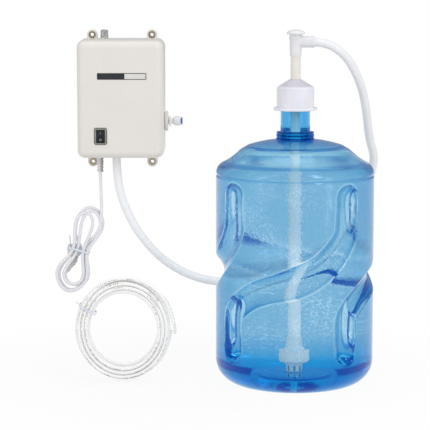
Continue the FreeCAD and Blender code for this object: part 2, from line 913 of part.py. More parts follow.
def make_outlet_oring():
    start = V(outlet_end - oring_depth - oring_t, fittings_y, outlet_z)
    return ring(collet_d, tube_d, start, X_AXIS, oring_t)


def make_outlet_collet():
    """The release collet, pushed towards the fitting to free the tube."""
    rest = outlet_end + collet_travel
    inner = collet_depth - collet_travel - clear
    outline = [(tube_d / 2 + press, -inner), (collet_d / 2, -inner), (collet_d / 2, 0),
               (collet_flange_d / 2 - 0.4, 0), (collet_flange_d / 2, 0.4),
               (collet_flange_d / 2, collet_flange_t - 0.8),
               (collet_flange_d / 2 - 0.8, collet_flange_t), (tube_d / 2 + 1, collet_flange_t),
               (tube_d / 2 + press, collet_flange_t - 1)]
    return turned(outline, V(rest, fittings_y, outlet_z), X_AXIS)


def make_delivery_tube():
    """The short moulded tube from the pump's side port to the outlet's elbow."""
    top = outlet_z - outlet_elbow_w / 2
    corner = V(elbow_x, fittings_y, port_z)
    start = V(head_side, fittings_y, port_z)
    end = V(elbow_x, fittings_y, top)
    bend = min((corner - start).Length, (end - corner).Length) - barb_l - slip
    first, last = corner - X_AXIS * bend, corner + Z_AXIS * bend
    middle = corner + (Z_AXIS - X_AXIS) * (bend * (1 - math.sqrt(0.5)))
    wire = Part.Wire([Part.LineSegment(start, first).toShape(), Part.Arc(first, middle, last).toShape(),
                      Part.LineSegment(last, end).toShape()])
    outer = bar_along(wire, start, X_AXIS, barb_d + 3)
    return outer.cut(bar_along(wire, start, X_AXIS, barb_d))


# Hose gland, strain relief and what they carry

def make_hose_gland():
    """A bushing that the two shells clamp round the hose."""
    inner, outer, flange = hose_d / 2, hose_d / 2 + gland_wall, gland_flange_d / 2
    low, high = -gland_flange_t, case_wall + gland_flange_t
    outline = [(inner, low), (flange - 0.5, low), (flange, low + 0.5), (flange, 0), (outer, 0),
               (outer, case_wall), (flange, case_wall), (flange, high), (inner, high)]
    return turned(outline, V(hose_x, fittings_y, case_bottom))


def make_strain_relief():
    """A tapered, grooved sleeve round the cord where it leaves the case."""
    bore, neck = cord_d / 2 + press, relief_thread_d / 2
    step = (relief_l - relief_d / 2) / relief_grooves
    outline = [(bore, case_wall + relief_inner_l), (relief_d / 2, case_wall + relief_inner_l),
               (relief_d / 2, case_wall), (neck, case_wall), (neck, 0), (relief_d / 2, 0)]
    for k in range(relief_grooves + 1):
        along = relief_d / 2 + k * step
        r = relief_d / 2 - (relief_d - relief_tip_d) / 2 * along / relief_l
        if k < relief_grooves:
            outline.append((r, -along + step * 0.35))
            outline.append((r - relief_groove_depth, -along + step * 0.25))
            outline.append((r - relief_groove_depth, -along - step * 0.15))
            outline.append((r, -along - step * 0.25))
    outline.append((relief_tip_d / 2, -relief_l + 0.5))
    outline.append((relief_tip_d / 2 - 0.5, -relief_l))
    outline.append((bore + 2 * slip, -relief_l))
    outline.append((bore, -relief_l / 2))
    return turned(outline, V(relief_x, fittings_y, case_bottom))


# Motor

motor_axis = V(pump_x, fittings_y, 0)
can_r = motor_d / 2
magnet_r = can_r - motor_wall
core_r = magnet_r - magnet_t - air_gap
brush_z = can_z + commutator_l / 2 + 4
core_z = can_z + (motor_l - core_l) / 2 + 4
top_bearing_z = can_top - motor_wall - bearing_w


def at_pump(z):
    return V(pump_x, fittings_y, z)


def make_motor_can():
    """A deep steel cup over the motor, with a pocket for the top bearing."""
    cup = rod(motor_d, at_pump(can_z), Z_AXIS, motor_l)
    top = [e for e in cup.Edges if e.BoundBox.ZMin > can_top - 1e-4]
    cup = cup.makeFillet(motor_wall, top)
    inside = rod(motor_d - 2 * motor_wall, at_pump(can_z - 1), Z_AXIS, motor_l - motor_wall + 1)
    collar = rod(bearing_d + 2 * motor_wall, at_pump(top_bearing_z), Z_AXIS, bearing_w + motor_wall)
    return joined(cup.cut(inside), collar).cut(rod(bearing_d, at_pump(top_bearing_z), Z_AXIS, bearing_w))


def make_motor_end_bell():
    disc = rod(motor_d, at_pump(bell_z), Z_AXIS, end_bell_t)
    spigot = ring(motor_d - 2 * motor_wall - 2 * press, motor_d - 4 * motor_wall, at_pump(can_z),
                  Z_AXIS, motor_wall)
    seat = rod(bearing_d, at_pump(bell_z), Z_AXIS, bearing_w)
    through = rod(shaft_d + 2 * clear, at_pump(bell_z), Z_AXIS, end_bell_t)
    return joined(disc, spigot).cut([seat, through])


def make_bearings():
    """The motor's two bearings and the one that the eccentric turns in."""
    motor = [ring(bearing_d, shaft_d + 2 * running, at_pump(z), Z_AXIS, bearing_w)
             for z in (bell_z, top_bearing_z)]
    wobble = ring(wobble_bore + 2 * wobble_ring_t, wobble_bore, at_pump(boss_top + wobble_t), Z_AXIS,
                  eccentric_h)
    return group(motor + [wobble])


def make_motor_magnets():
    """Two curved magnets on the inside of the can."""
    z = core_z + core_l / 2 - magnet_l / 2
    arc = Part.makeCylinder(magnet_r, magnet_l, at_pump(z), Z_AXIS, magnet_arc_deg)
    arc = arc.cut(rod(2 * (magnet_r - magnet_t), at_pump(z), Z_AXIS, magnet_l))
    return group(around(arc, at_pump(z), 2, -magnet_arc_deg / 2))


def make_eccentric_shaft():
    """The shaft from the top bearing down, with the offset hub at its lower end."""
    low = bell_z - eccentric_h - 2 * clear
    shaft = rod(shaft_d, at_pump(low), Z_AXIS, can_top - motor_wall - clear - low)
    return joined(shaft, rod(eccentric_d, at_pump(low) + X_AXIS * eccentric_throw, Z_AXIS, eccentric_h))


def make_armature_core():
    """A slotted core on the shaft."""
    core = ring(2 * core_r, shaft_d, at_pump(core_z), Z_AXIS, core_l)
    slot = block(pump_x + core_r - core_slot_depth, pump_x + core_r + 1,
                 fittings_y - core_slot_w / 2, fittings_y + core_slot_w / 2, core_z, core_z + core_l)
    mouth = core_r - 2
    slot = slot.common(rod(2 * mouth, at_pump(core_z), Z_AXIS, core_l))
    return core.cut(around(slot, motor_axis, core_slots))


def make_windings():
    """Copper in the slots, joined by a ring above and a ring below the core."""
    outer = core_r - 2 - slip
    inner = core_r - core_slot_depth + slip
    rings = [ring(2 * outer, 2 * inner, at_pump(z), Z_AXIS, winding_rise)
             for z in (core_z - winding_rise, core_z + core_l)]
    bar = block(pump_x + inner + slip, pump_x + outer - 1, fittings_y - core_slot_w / 2 + slip,
                fittings_y + core_slot_w / 2 - slip, core_z - 1, core_z + core_l + 1)
    return joined(*rings, *around(bar, motor_axis, core_slots))


def make_commutator():
    z = brush_z - commutator_l / 2
    drum = ring(commutator_d, shaft_d, at_pump(z), Z_AXIS, commutator_l)
    gap = block(pump_x + commutator_d / 2 - 1.2, pump_x + commutator_d, fittings_y - 0.3,
                fittings_y + 0.3, z, z + commutator_l)
    return drum.cut(around(gap, motor_axis, core_slots))


def make_windings_and_commutator():
    return group([make_windings(), make_commutator()])


def make_brushes():
    """Two carbon brushes in their boxes, which stand on the end bell."""
    brushes = []
    for side in (-1, 1):
        start = pump_x + side * (commutator_d / 2 + slip)
        carbon = block(min(start, start + side * brush_l), max(start, start + side * brush_l),
                       fittings_y - brush_w / 2, fittings_y + brush_w / 2, brush_z - brush_w / 2,
                       brush_z + brush_w / 2)
        post_x = start + side * (brush_l + brush_w / 2 - 1)
        post = block(post_x - brush_w / 2, post_x + brush_w / 2, fittings_y - brush_w / 2,
                     fittings_y + brush_w / 2, can_z, brush_z + brush_w / 2)
        brushes.append(joined(carbon, post))
    return group(brushes)


# Pump head

wobble_bore = eccentric_d + 2 * eccentric_throw + 2 * clear
boss_top = drive_z + diaphragm_boss_h


def head_block(z, height):
    block_solid = block_at(pump_x, fittings_y, z + height / 2, head_w, head_w, height)
    return block_solid.makeFillet(head_r, edges_along(block_solid, Z_AXIS))


def pump_screw_places():
    reach = head_w / 2 - pump_screw_inset
    return [(pump_x + sx * reach, fittings_y + sy * reach) for sx in (-1, 1) for sy in (-1, 1)]


def screw_holes(z, height):
    return [rod(pump_screw_d + 2 * slip, V(x, y, z), Z_AXIS, height) for x, y in pump_screw_places()]


def chamber_places(z):
    return [polar(motor_axis, chamber_circle_r, 90 + 360 * k / chamber_count, z)
            for k in range(chamber_count)]


def make_drive_housing():
    """The hollow block between the motor and the diaphragm."""
    body = head_block(drive_z, drive_h)
    hollow = rod(head_w - 2 * drive_wall, at_pump(drive_z), Z_AXIS, drive_h)
    threads = [rod(pump_screw_d, V(x, y, drive_z), Z_AXIS, pump_screw_bite)
               for x, y in pump_screw_places()]
    return body.cut([hollow] + threads)


def make_wobble_plate():
    """The plate that the eccentric rocks, with a foot on each chamber of the diaphragm."""
    plate = rod(wobble_d, at_pump(boss_top), Z_AXIS, wobble_t)
    hub = rod(wobble_bore + 4 * wobble_ring_t, at_pump(boss_top), Z_AXIS, wobble_t + eccentric_h)
    solid = joined(plate, hub)
    floor = rod(wobble_bore + 2 * wobble_ring_t, at_pump(boss_top + wobble_t), Z_AXIS, eccentric_h)
    return solid.cut(floor)


def make_diaphragm():
    """A rubber sheet as wide as the head, with a boss over each chamber."""
    sheet = head_block(diaphragm_z, diaphragm_t)
    bosses = [rod(diaphragm_boss_d, c, Z_AXIS, diaphragm_boss_h) for c in chamber_places(drive_z)]
    return joined(sheet, *bosses).cut(screw_holes(diaphragm_z, diaphragm_t))


def make_valve_plate():
    plate = head_block(cover_z, valve_plate_t)
    cuts = screw_holes(cover_z, valve_plate_t)
    top = cover_z + valve_plate_t
    cuts += [rod(chamber_d, c, Z_AXIS * -1, chamber_depth) for c in chamber_places(top)]
    for place in chamber_places(cover_z):
        for side in (-1, 1):
            cuts.append(rod(valve_hole_d, place + X_AXIS * (side * valve_hole_d), Z_AXIS, valve_plate_t))
    return plate.cut(cuts)


def make_pump_cover():
    """The lower cover, with the inlet barb below and the outlet barb at the side."""
    body = head_block(pump_base_z, pump_cover_h)
    inlet = V(hose_x, fittings_y, pump_base_z)
    outlet = V(head_side, fittings_y, port_z)
    inlet_l = pump_base_z - case_bottom - case_wall - gland_flange_t - 1
    inlet_barb = ridged_barb(inlet, Z_AXIS * -1, hose_bore, hose_bore - 3, inlet_l)
    outlet_barb = ridged_barb(outlet, X_AXIS, barb_d, barb_bore, barb_l)
    gallery_h = pump_cover_h - pump_cover_floor
    gallery_z = pump_base_z + pump_cover_floor
    centre = rod(head_w / 3, at_pump(gallery_z), Z_AXIS, gallery_h)
    outer = ring(head_w * 0.78, head_w / 3 + 4, at_pump(gallery_z), Z_AXIS, gallery_h)
    outer = outer.cut([rod(2.2 * pump_screw_d, V(x, y, gallery_z), Z_AXIS, gallery_h)
                       for x, y in pump_screw_places()])
    side = rod(barb_bore, outlet, X_AXIS * -1, head_w / 2)
    down = rod(hose_bore - 3, inlet, Z_AXIS, pump_cover_floor + 1)
    sensor_hole = rod(sensor_port_d, V(pump_x - head_w / 2, fittings_y, port_z), X_AXIS, head_w / 4)
    cuts = [centre, outer, side, down, sensor_hole] + screw_holes(pump_base_z, pump_cover_h)
    return joined(body, inlet_barb, outlet_barb).cut(cuts)


def pump_screws():
    length = pump_cover_h + valve_plate_t + diaphragm_t + pump_screw_bite - 1
    return [screw(V(x, y, pump_base_z), Z_AXIS, pump_screw_d, length, pump_screw_head_d,
                  pump_screw_head_t) for x, y in pump_screw_places()]


# Pressure switch, screwed to the left side of the pump cover

sensor_face = pump_x - head_w / 2


def make_pressure_switch():
    body = block(sensor_face - sensor_w, sensor_face, fittings_y - sensor_l / 2,
                 fittings_y + sensor_l / 2, port_z - sensor_h / 2, port_z + sensor_h / 2)
    bore = rod(plunger_d + 2 * running, V(sensor_face, fittings_y, port_z), X_AXIS * -1,
               plunger_l + plunger_travel + clear)
    blades = [block_at(sensor_face - sensor_w - terminal_l / 2, fittings_y + k * sensor_l / 4, port_z,
                       terminal_l, terminal_w * 0.6, terminal_t) for k in (-1, 1)]
    return joined(body, *blades).cut(bore)


def make_pressure_plunger():
    return rod(plunger_d, V(sensor_face - slip, fittings_y, port_z), X_AXIS * -1, plunger_l)


# What carries the pump in the back shell

bracket_y = fittings_y + can_r + cradle_hug / 2 + bracket_t


def make_pump_bracket():
    """A plate with a cradle that the motor lies in."""
    plate = block(pump_x - bracket_w / 2, pump_x + bracket_w / 2, bracket_y - bracket_t, bracket_y,
                  bracket_z - bracket_h / 2, bracket_z + bracket_h / 2)
    cradle = block(pump_x - cradle_w / 2, pump_x + cradle_w / 2,
                   fittings_y + can_r - cradle_hug, bracket_y - bracket_t,
                   bracket_z - cradle_h / 2, bracket_z + cradle_h / 2)
    holes = [rod(pad_d / 3, V(x, bracket_y - bracket_t, z), Y_AXIS, bracket_t) for x, z in pad_places()]
    hollow = rod(motor_d + 2 * press, at_pump(bracket_z - bracket_h), Z_AXIS, 2 * bracket_h)
    return joined(plate, cradle).cut(holes + [hollow])


def pad_places():
    return [(pump_x + sx * pad_pitch_x / 2, bracket_z + sz * pad_pitch_z / 2)
            for sx in (-1, 1) for sz in (-1, 1)]


def make_rubber_mounts():
    """Waisted rubber mounts between the bracket and the back of the case."""
    height = -case_wall - bracket_y
    waist = pad_d * 0.36
    outline = [(0, 0), (pad_d / 2, 0), (pad_d / 2, height * 0.3), (waist, height * 0.42),
               (waist, height * 0.58), (pad_d / 2, height * 0.7), (pad_d / 2, height), (0, height)]
    plug = [rod(pad_d / 3 - 2 * press, V(x, bracket_y - bracket_t, z), Y_AXIS, bracket_t)
            for x, z in pad_places()]
    pads = [turned(outline, V(x, bracket_y, z), Y_AXIS) for x, z in pad_places()]
    return group(joined(pad, p) for pad, p in zip(pads, plug))


def make_motor_band():
    """The steel strap over the motor, with its lugs on the bracket."""
    z = bracket_z - band_w / 2
    strap = ring(motor_d + 2 * (band_t + press), motor_d + 2 * press, at_pump(z), Z_AXIS, band_w)
    back = bracket_y - bracket_t
    side = can_r + press
    strap = strap.cut(block_at(pump_x, fittings_y + motor_d / 2, bracket_z, 2 * motor_d, motor_d, band_w))
    walls, lugs = [], []
    for sx in (-1, 1):
        x = pump_x + sx * side
        walls.append(block(min(x, x + sx * band_t), max(x, x + sx * band_t), fittings_y, back, z,
                           z + band_w))
        inner = x - sx * band_lug
        lugs.append(block(min(x, inner), max(x, inner), back - band_t, back, z, z + band_w))
    return joined(strap, *walls, *lugs)


# Power board

board_back = -case_wall - board_standoff
board_x = case_wall + board_wall_gap + board_w / 2 - case_side
board_front = board_back - board_t


def board_screw_places():
    x, z = board_w / 2 - board_inset, board_h / 2 - board_inset
    return [(board_x + sx * x, board_z + sz * z) for sx in (-1, 1) for sz in (-1, 1)]


def make_power_board():
    board = block(board_x - board_w / 2, board_x + board_w / 2, board_front, board_back,
                  board_z - board_h / 2, board_z + board_h / 2)
    return board.cut([rod(board_screw_d + 2 * slip, V(x, board_front, z), Y_AXIS, board_t)
                      for x, z in board_screw_places()])


def board_screws():
    return [screw(V(x, board_front, z), Y_AXIS, board_screw_d - 2 * press,
                  board_t + board_standoff - 1, board_screw_head_d, board_screw_head_t)
            for x, z in board_screw_places()]


def make_screws():
    return group(cover_screws() + pump_screws() + board_screws())


def transformer():
    """A laminated core with its bobbin, on the upper half of the board."""
    y = board_front - transformer_t / 2
    z = board_z + transformer_rise
    core = block_at(board_x, y, z, transformer_w, transformer_t * 0.6, transformer_h)
    bobbin = block_at(board_x, y, z, transformer_w * 0.7, transformer_t, transformer_h * 0.6)
    foot = block_at(board_x, board_front - transformer_bobbin / 2, z, transformer_w,
                    transformer_bobbin, transformer_h * 0.8)
    return joined(core, bobbin, foot)


def make_board_parts():
    """The transformer, a row of capacitors and a terminal block."""
    z = board_z - part_drop
    parts = [transformer()]
    for k in (-1, 0, 1):
        can = rod(capacitor_d, V(board_x + k * (capacitor_d + 1), board_front, z + capacitor_d), Y_AXIS * -1,
                  capacitor_l)
        front = [e for e in can.Edges if e.BoundBox.YMax < board_front - capacitor_l + 1e-4]
        parts.append(can.makeFillet(1.0, front))
    terminals = block(board_x - terminal_block_w / 2, board_x + terminal_block_w / 2,
                      board_front - terminal_block_t, board_front, z - terminal_block_h, z - 1)
    face_y, middle_z = board_front - terminal_block_t, z - terminal_block_h / 2
    holes = [rod(terminal_hole_d, V(board_x + k * terminal_block_w / 4, face_y, middle_z), Y_AXIS,
                 terminal_hole_d) for k in (-1.5, -0.5, 0.5, 1.5)]
    parts.append(terminals.cut(holes))
    return group(parts)


def make_wiring():
    """Single wires from the cord to the switch, the reset, the board and the pump."""
    block_z = board_z - part_drop - terminal_block_h - wire_d / 2
    block_y = board_front - terminal_block_t / 2
    back = switch_front + switch_body_depth + terminal_l + wire_d / 2
    cord_top = case_bottom + case_wall + relief_inner_l + cord_inner_l + wire_d / 2
    low, high = switch_z - terminal_pitch, switch_z + terminal_pitch
    reset_low = case_top - case_wall - reset_body_h - terminal_l - wire_d / 2
    sensor_x = sensor_face - sensor_w - terminal_l - wire_d / 2
    routes = [
        [(relief_x - 1, fittings_y, cord_top), (relief_x - 1, fittings_y - 2, cord_top + 8),
         (switch_x - 2, back + 8, low - 2), (switch_x - 2, back, low)],
        [(switch_x, back, high), (switch_x, back + 8, high + 2), (board_x + 5, block_y - 10, block_z - 10),
         (board_x + 5, block_y, block_z)],
        [(board_x - 8, block_y, block_z), (board_x - 12, block_y - 6, block_z - 14),
         (relief_x - 8, fittings_y + 6, cord_top + 14), (relief_x + 1, fittings_y, cord_top)],
        [(sensor_x, fittings_y - sensor_l / 4, port_z), (sensor_x - 8, fittings_y - 1, port_z + 4),
         (board_x + 1, block_y - 8, block_z - 12), (board_x + 1, block_y, block_z)],
        [(reset_x - reset_body_w / 4, reset_y, reset_low), (reset_x - 4, reset_y, reset_low - 6),
         (board_x + board_w / 2 - 4, board_front - 5, board_z + board_h / 2 - 2),
         (board_x + board_w / 2 - 4, board_front - 1, board_z + board_h / 4)]]
    wires = []
    for k, route in enumerate(routes):
        wires.append(tube_along(route, wire_d, 0, f"wire {k + 1}"))
    return group(wires)


# Cords and hoses that hang free

hose_route = [
    (hose_x, fittings_y, pump_base_z), (hose_x, fittings_y, -120.9), (-3.5, fittings_y, -165.0),
    (13.8, -46.2, -209.9), (35.5, -41.0, -246.7), (73.6, -32.6, -289.4), (126.8, -21.0, -320.9),
    (190.1, -11.7, -333.0), (246.4, -9.6, -319.5), (300.2, -9.6, -290.3), (350.0, -10.0, -248.0),
    (396.8, -12.0, -204.9), (433.7, -21.6, -160.3), (447.3, -51.6, -103.5), (433.9, -75.4, -68.0),
    (426.3, -106.8, -17.9), (419.9, -123.5, 12.7), (409.6, -140.8, 43.2), (391.3, -153.0, 76.6),
    (370.3, -157.8, 95.9), (345.7, bottle_y, arm_z), (bottle_x + arm_reach - arm_lap, bottle_y, arm_z)]


def make_suction_hose():
    return tube_along(hose_route, hose_d, hose_bore, "suction hose")


def hank_place(u, v, y):
    """A point given across and along the hank."""
    tilt = math.radians(hank_tilt_deg)
    return V(hank_x + u * math.cos(tilt) + v * math.sin(tilt), y,
             hank_z - u * math.sin(tilt) + v * math.cos(tilt))


def hank_outline(inset):
    """Eight places round the hank, clockwise from its upper right, and their directions."""
    top, low = hank_top_half_w - inset, hank_low_half_w - inset
    waist = hank_waist_half_w - inset
    tip, toe = hank_top_h - inset, -hank_low_h + inset
    shoulder, hip = tip - hank_roundness * top, toe + hank_roundness * low
    return [(top, shoulder, 0, -1), (waist, 0, 0, -1), (low, hip, 0, -1), (0, toe, -1, 0),
            (-low, hip, 0, 1), (-waist, 0, 0, 1), (-top, shoulder, 0, 1), (0, tip, 1, 0)]


def make_power_cord():
    inside = case_bottom + case_wall + relief_inner_l + cord_inner_l
    u, v = hank_outline(0)[0][:2]
    entry = hank_place(u, v, hank_y - hank_layer / 2)
    near_entry = entry + facing(hank_entry_deg) * hank_entry_l
    points = [(relief_x, fittings_y, inside), (relief_x, fittings_y, cord_straight_z), tuple(near_entry),
              tuple(entry)]
    return tube_along(points, cord_d, 0, "power cord")


def facing(tilt_deg):
    """The upright direction in the hank's plane, tilted to the right."""
    return V(math.sin(math.radians(tilt_deg)), 0, math.cos(math.radians(tilt_deg)))


def make_power_cord_hank():
    """Two turns inwards in front, a climb on the left run, then outwards and behind to the plug."""
    front, back = hank_y - hank_layer / 2, hank_y + hank_layer / 2
    climb, last = 13, 25
    places = []
    for k in range(last + 1):
        inset = (k if k < climb else 2 * climb - k) * hank_step / 8
        u, v, du, dv = hank_outline(inset)[k % 8]
        y = hank_y if k == climb else (front if k < climb else back)
        p = hank_place(u, v, y)
        t = hank_place(u + du, v + dv, y) - p
        if k == 0:
            t = facing(hank_entry_deg) * -1
        if k == climb:
            t.y = hank_layer / hank_top_h
        t.normalize()
        places.append((p, t))
    down = hank_place(0, -1, 0) - hank_place(0, 0, 0)
    down.y = hank_layer / hank_low_h
    down.normalize()
    u, v = hank_outline(0)[2][:2]
    places.append((hank_place(u, v, back + hank_layer), down))
    across = hank_place(-1, 0, 0) - hank_place(0, 0, 0)
    bottom_v = -hank_low_h + 1.6 * hank_step
    places.append((hank_place(plug_sleeve_u / -3, bottom_v, plug_y), across))
    sleeve = hank_place(plug_sleeve_u, plug_sleeve_v, plug_y)
    up = facing(plug_sleeve_tilt_deg)
    places.append((sleeve - up * cord_d, up))
    places.append((sleeve, up))
    return wound_bar(places, cord_d, "hank")


def make_plug():
    """The plug's body with its grooved sleeve round the cord."""
    rear = hank_place(plug_u, plug_v, plug_y)
    start = hank_place(plug_sleeve_u, plug_sleeve_v, plug_y)
    up = facing(plug_sleeve_tilt_deg)
    wire = wound_wire([(start, up), (rear, facing(plug_tilt_deg))], "plug sleeve", plug_sleeve_d)
    sleeve = bar_along(wire, start, up, plug_sleeve_d)
    edges = wire.OrderedEdges
    rings = []
    for k in range(plug_sleeve_rings):
        share = (k + 0.6) / plug_sleeve_rings
        edge = edges[0] if share < 0.5 else edges[1]
        local = 2 * share - (0 if share < 0.5 else 1)
        along = edge.FirstParameter + local * (edge.LastParameter - edge.FirstParameter)
        first, last = edge.FirstParameter, edge.LastParameter
        if (edge.valueAt(first) - start).Length > (edge.valueAt(last) - start).Length:
            along = last - local * (last - first)
        place, tangent = edge.valueAt(along), edge.tangentAt(along)
        rings.append(rod(plug_sleeve_ring_d, place - tangent * 1.1, tangent, 2.2))
    outline = [(plug_w * 0.3, 0), (plug_w / 2, plug_l * 0.3), (plug_w / 2, plug_l * 0.75),
               (plug_face_w / 2, plug_l), (-plug_face_w / 2, plug_l), (-plug_w / 2, plug_l * 0.75),
               (-plug_w / 2, plug_l * 0.3), (-plug_w * 0.3, 0)]
    corners = [V(x, -plug_depth / 2, z) for x, z in outline]
    body = Part.Face(Part.makePolygon(corners + corners[:1])).extrude(V(0, plug_depth, 0))
    body = body.makeFillet(3.0, edges_along(body, Y_AXIS)[1:3])
    body.Placement = FreeCAD.Placement(rear, FreeCAD.Rotation(Y_AXIS, plug_tilt_deg))
    return joined(body, sleeve, *rings)


def make_plug_blades():
    """Two flat blades with a hole near each tip."""
    rear = hank_place(plug_u, plug_v, plug_y)
    blades = []
    for side in (-1, 1):
        blade = block_at(side * blade_pitch / 2, 0, plug_l + blade_l / 2, blade_t, blade_w, blade_l)
        tip = [e for e in blade.Edges if e.BoundBox.ZMin > plug_l + blade_l - 1e-4]
        hole = V(side * blade_pitch / 2 - blade_t, 0, plug_l + blade_l * 0.75)
        blade = blade.makeChamfer(blade_t * 0.3, tip).cut(rod(blade_hole_d, hole, X_AXIS, 2 * blade_t))
        blade.Placement = FreeCAD.Placement(rear, FreeCAD.Rotation(Y_AXIS, plug_tilt_deg))
        blades.append(blade)
    return group(blades)


def make_hank_tie():
    """A flat band round the hank's waist, with its twisted end."""
    left = -hank_waist_half_w - cord_d / 2
    right = hank_waist_half_w + cord_d / 2 + clear
    front = hank_y - hank_layer / 2 - cord_d / 2 - clear
    back = hank_y + hank_layer / 2 + cord_d / 2 + clear / 2
    outer = block(left - tie_t, right + tie_t, front - tie_t, back + tie_t, -tie_w / 2, tie_w / 2)
    outer = outer.makeFillet(cord_d / 2, edges_along(outer, Z_AXIS))
    inner = block(left, right, front, back, -tie_w / 2, tie_w / 2)
    inner = inner.makeFillet(cord_d / 2 - tie_t, edges_along(inner, Z_AXIS))
    band = outer.cut(inner)
    band.Placement = FreeCAD.Placement(V(hank_x, 0, hank_z), FreeCAD.Rotation(Y_AXIS, hank_tilt_deg))
    return band


# Coil of delivery tubing

coil_z = floor_z + coil_outer_r - coil_pitch / 4 + tube_d / 2 + coil_rest
coil_depth = (coil_layers - 1) * (tube_d + coil_layer_gap)
quarters = round(4 * coil_layer_turns)


def coil_spot(k):
    """The distance from the coil's axis and the depth after k quarter turns."""
    layer, into = divmod(k, quarters)
    inward = into if layer % 2 == 0 else quarters - into
    r = coil_outer_r - inward * coil_pitch / 4
    depth = layer
    if into == 0 and 0 < layer < coil_layers:
        depth = layer - 0.5
    depth = min(depth, coil_layers - 1)
    return r, coil_y - coil_depth / 2 + depth * (tube_d + coil_layer_gap)


def coil_place(k):
    """A point of the coil and its direction."""
    angle = math.radians(coil_start_deg + 90 * k)
    quarter = math.pi / 2
    last = quarters * coil_layers
    (r, y), before, after = coil_spot(k), coil_spot(max(k - 1, 0)), coil_spot(min(k + 1, last))
    grow, drift = (after[0] - before[0]) / 2 / quarter, (after[1] - before[1]) / 2 / quarter
    if k in (0, last):
        drift = 0
    p = V(coil_x + coil_squeeze * r * math.cos(angle), y, coil_z + r * math.sin(angle))
    t = V(coil_squeeze * (grow * math.cos(angle) - r * math.sin(angle)), drift,
          grow * math.sin(angle) + r * math.cos(angle))
    t.normalize()
    return p, t


def make_tubing_coil():
    places = [coil_place(k) for k in range(quarters * coil_layers + 1)]
    (p, t), (q, u) = places[0], places[-1]
    places = [(p - t * tube_d, t)] + places + [(q + u * tube_d, u)]
    return wound_bar(places, tube_d, "tubing coil")


def make_coil_tie():
    """A thin tie round the coil's turns, with a loose twisted end."""
    reach = quarters * coil_pitch / 4
    half_y = coil_depth / 2 + tube_d / 2 + clear
    outward = V(coil_squeeze * math.cos(math.radians(coil_tie_deg)), 0,
                math.sin(math.radians(coil_tie_deg)))
    stretch = outward.Length
    outer_r = coil_outer_r * stretch + tube_d / 2 + clear
    inner_r = (coil_outer_r - reach) * stretch - tube_d / 2 - clear
    outer = block(inner_r - coil_tie_t, outer_r + coil_tie_t, -half_y - coil_tie_t,
                  half_y + coil_tie_t, -coil_tie_w / 2, coil_tie_w / 2)
    outer = outer.makeFillet(tube_d / 2, edges_along(outer, Z_AXIS))
    inner = block(inner_r, outer_r, -half_y, half_y, -coil_tie_w / 2, coil_tie_w / 2)
    inner = inner.makeFillet(tube_d / 2 - coil_tie_t, edges_along(inner, Z_AXIS))
    tail = block(outer_r, outer_r + coil_tie_tail, -coil_tie_t / 2, coil_tie_t / 2, -coil_tie_w / 4,
                 coil_tie_w / 4)
    tie = joined(outer.cut(inner), tail)
    turn = math.degrees(math.atan2(outward.z, outward.x))
    tie.Placement = FreeCAD.Placement(V(coil_x, coil_y, coil_z), FreeCAD.Rotation(Y_AXIS, -turn))
    return tie


# Bottle

def dome_inset(r, h, inset):
    """A point of the dome, moved inwards square to the dome's slope."""
    slope = math.atan2(dome_rise, dome_run_in)
    return V(r - inset * math.sin(slope), 0, h - inset * math.cos(slope))


def sagging_arc(a, b, sag):
    """An arc whose middle lies below its chord by the sag."""
    chord = b - a
    side = V(-chord.z, 0, chord.x)
    side.normalize()
    middle = (a + b) * 0.5 + side * (sag if side.z < 0 else -sag)
    return Part.Arc(a, middle, b).toShape()


def circle_arc(centre, radius, deg_a, deg_b):
    def at(deg):
        return centre + V(radius * math.cos(math.radians(deg)), 0, radius * math.sin(math.radians(deg)))
    return Part.Arc(at(deg_a), at((deg_a + deg_b) / 2), at(deg_b)).toShape(), at(deg_a), at(deg_b)


def bottle_outline(inset):
    """The section from the middle of the base to the foot of the neck."""
    foot_r = bottle_r - bottle_corner_r
    rise_r = foot_r - foot_ring_w
    slope = math.atan2(push_up, rise_r - push_up_d / 2)
    shift = inset * math.tan(slope / 2)
    a, b = V(0, 0, push_up + inset), V(push_up_d / 2 + shift, 0, push_up + inset)
    c = V(rise_r + shift, 0, inset)
    corner, d, e = circle_arc(V(foot_r, 0, bottle_corner_r), bottle_corner_r - inset, -90, 0)
    shoulder, f, g = circle_arc(V(bottle_r - shoulder_r, 0, body_h), shoulder_r - inset, 0, crease_deg)
    h = dome_inset(dome_mid_r, dome_mid_h, inset)
    i = dome_inset(dome_ring_r, dome_ring_h, inset)
    j = i + V(-ring_step / 3, 0, ring_step)
    k = V(neck_ring_d / 2, 0, neck_base_h - inset)
    edges = [(a, b), (b, c), (c, d), corner, (e, f), shoulder, sagging_arc(g, h, dome_sag),
             sagging_arc(h, i, -dome_sag), (i, j), sagging_arc(j, k, -dome_sag)]
    return [Part.LineSegment(*x).toShape() if isinstance(x, tuple) else x for x in edges], a, k


def revolved(edges, points):
    """A solid of revolution from an outline that ends with straight lines through points."""
    for p, q in zip(points, points[1:]):
        edges.append(Part.LineSegment(p, q).toShape())
    face = Part.Face(Part.Wire(edges))
    solid = face.revolve(V(0, 0, 0), Z_AXIS, 360)
    solid.translate(V(bottle_x, bottle_y, floor_z))
    return solid


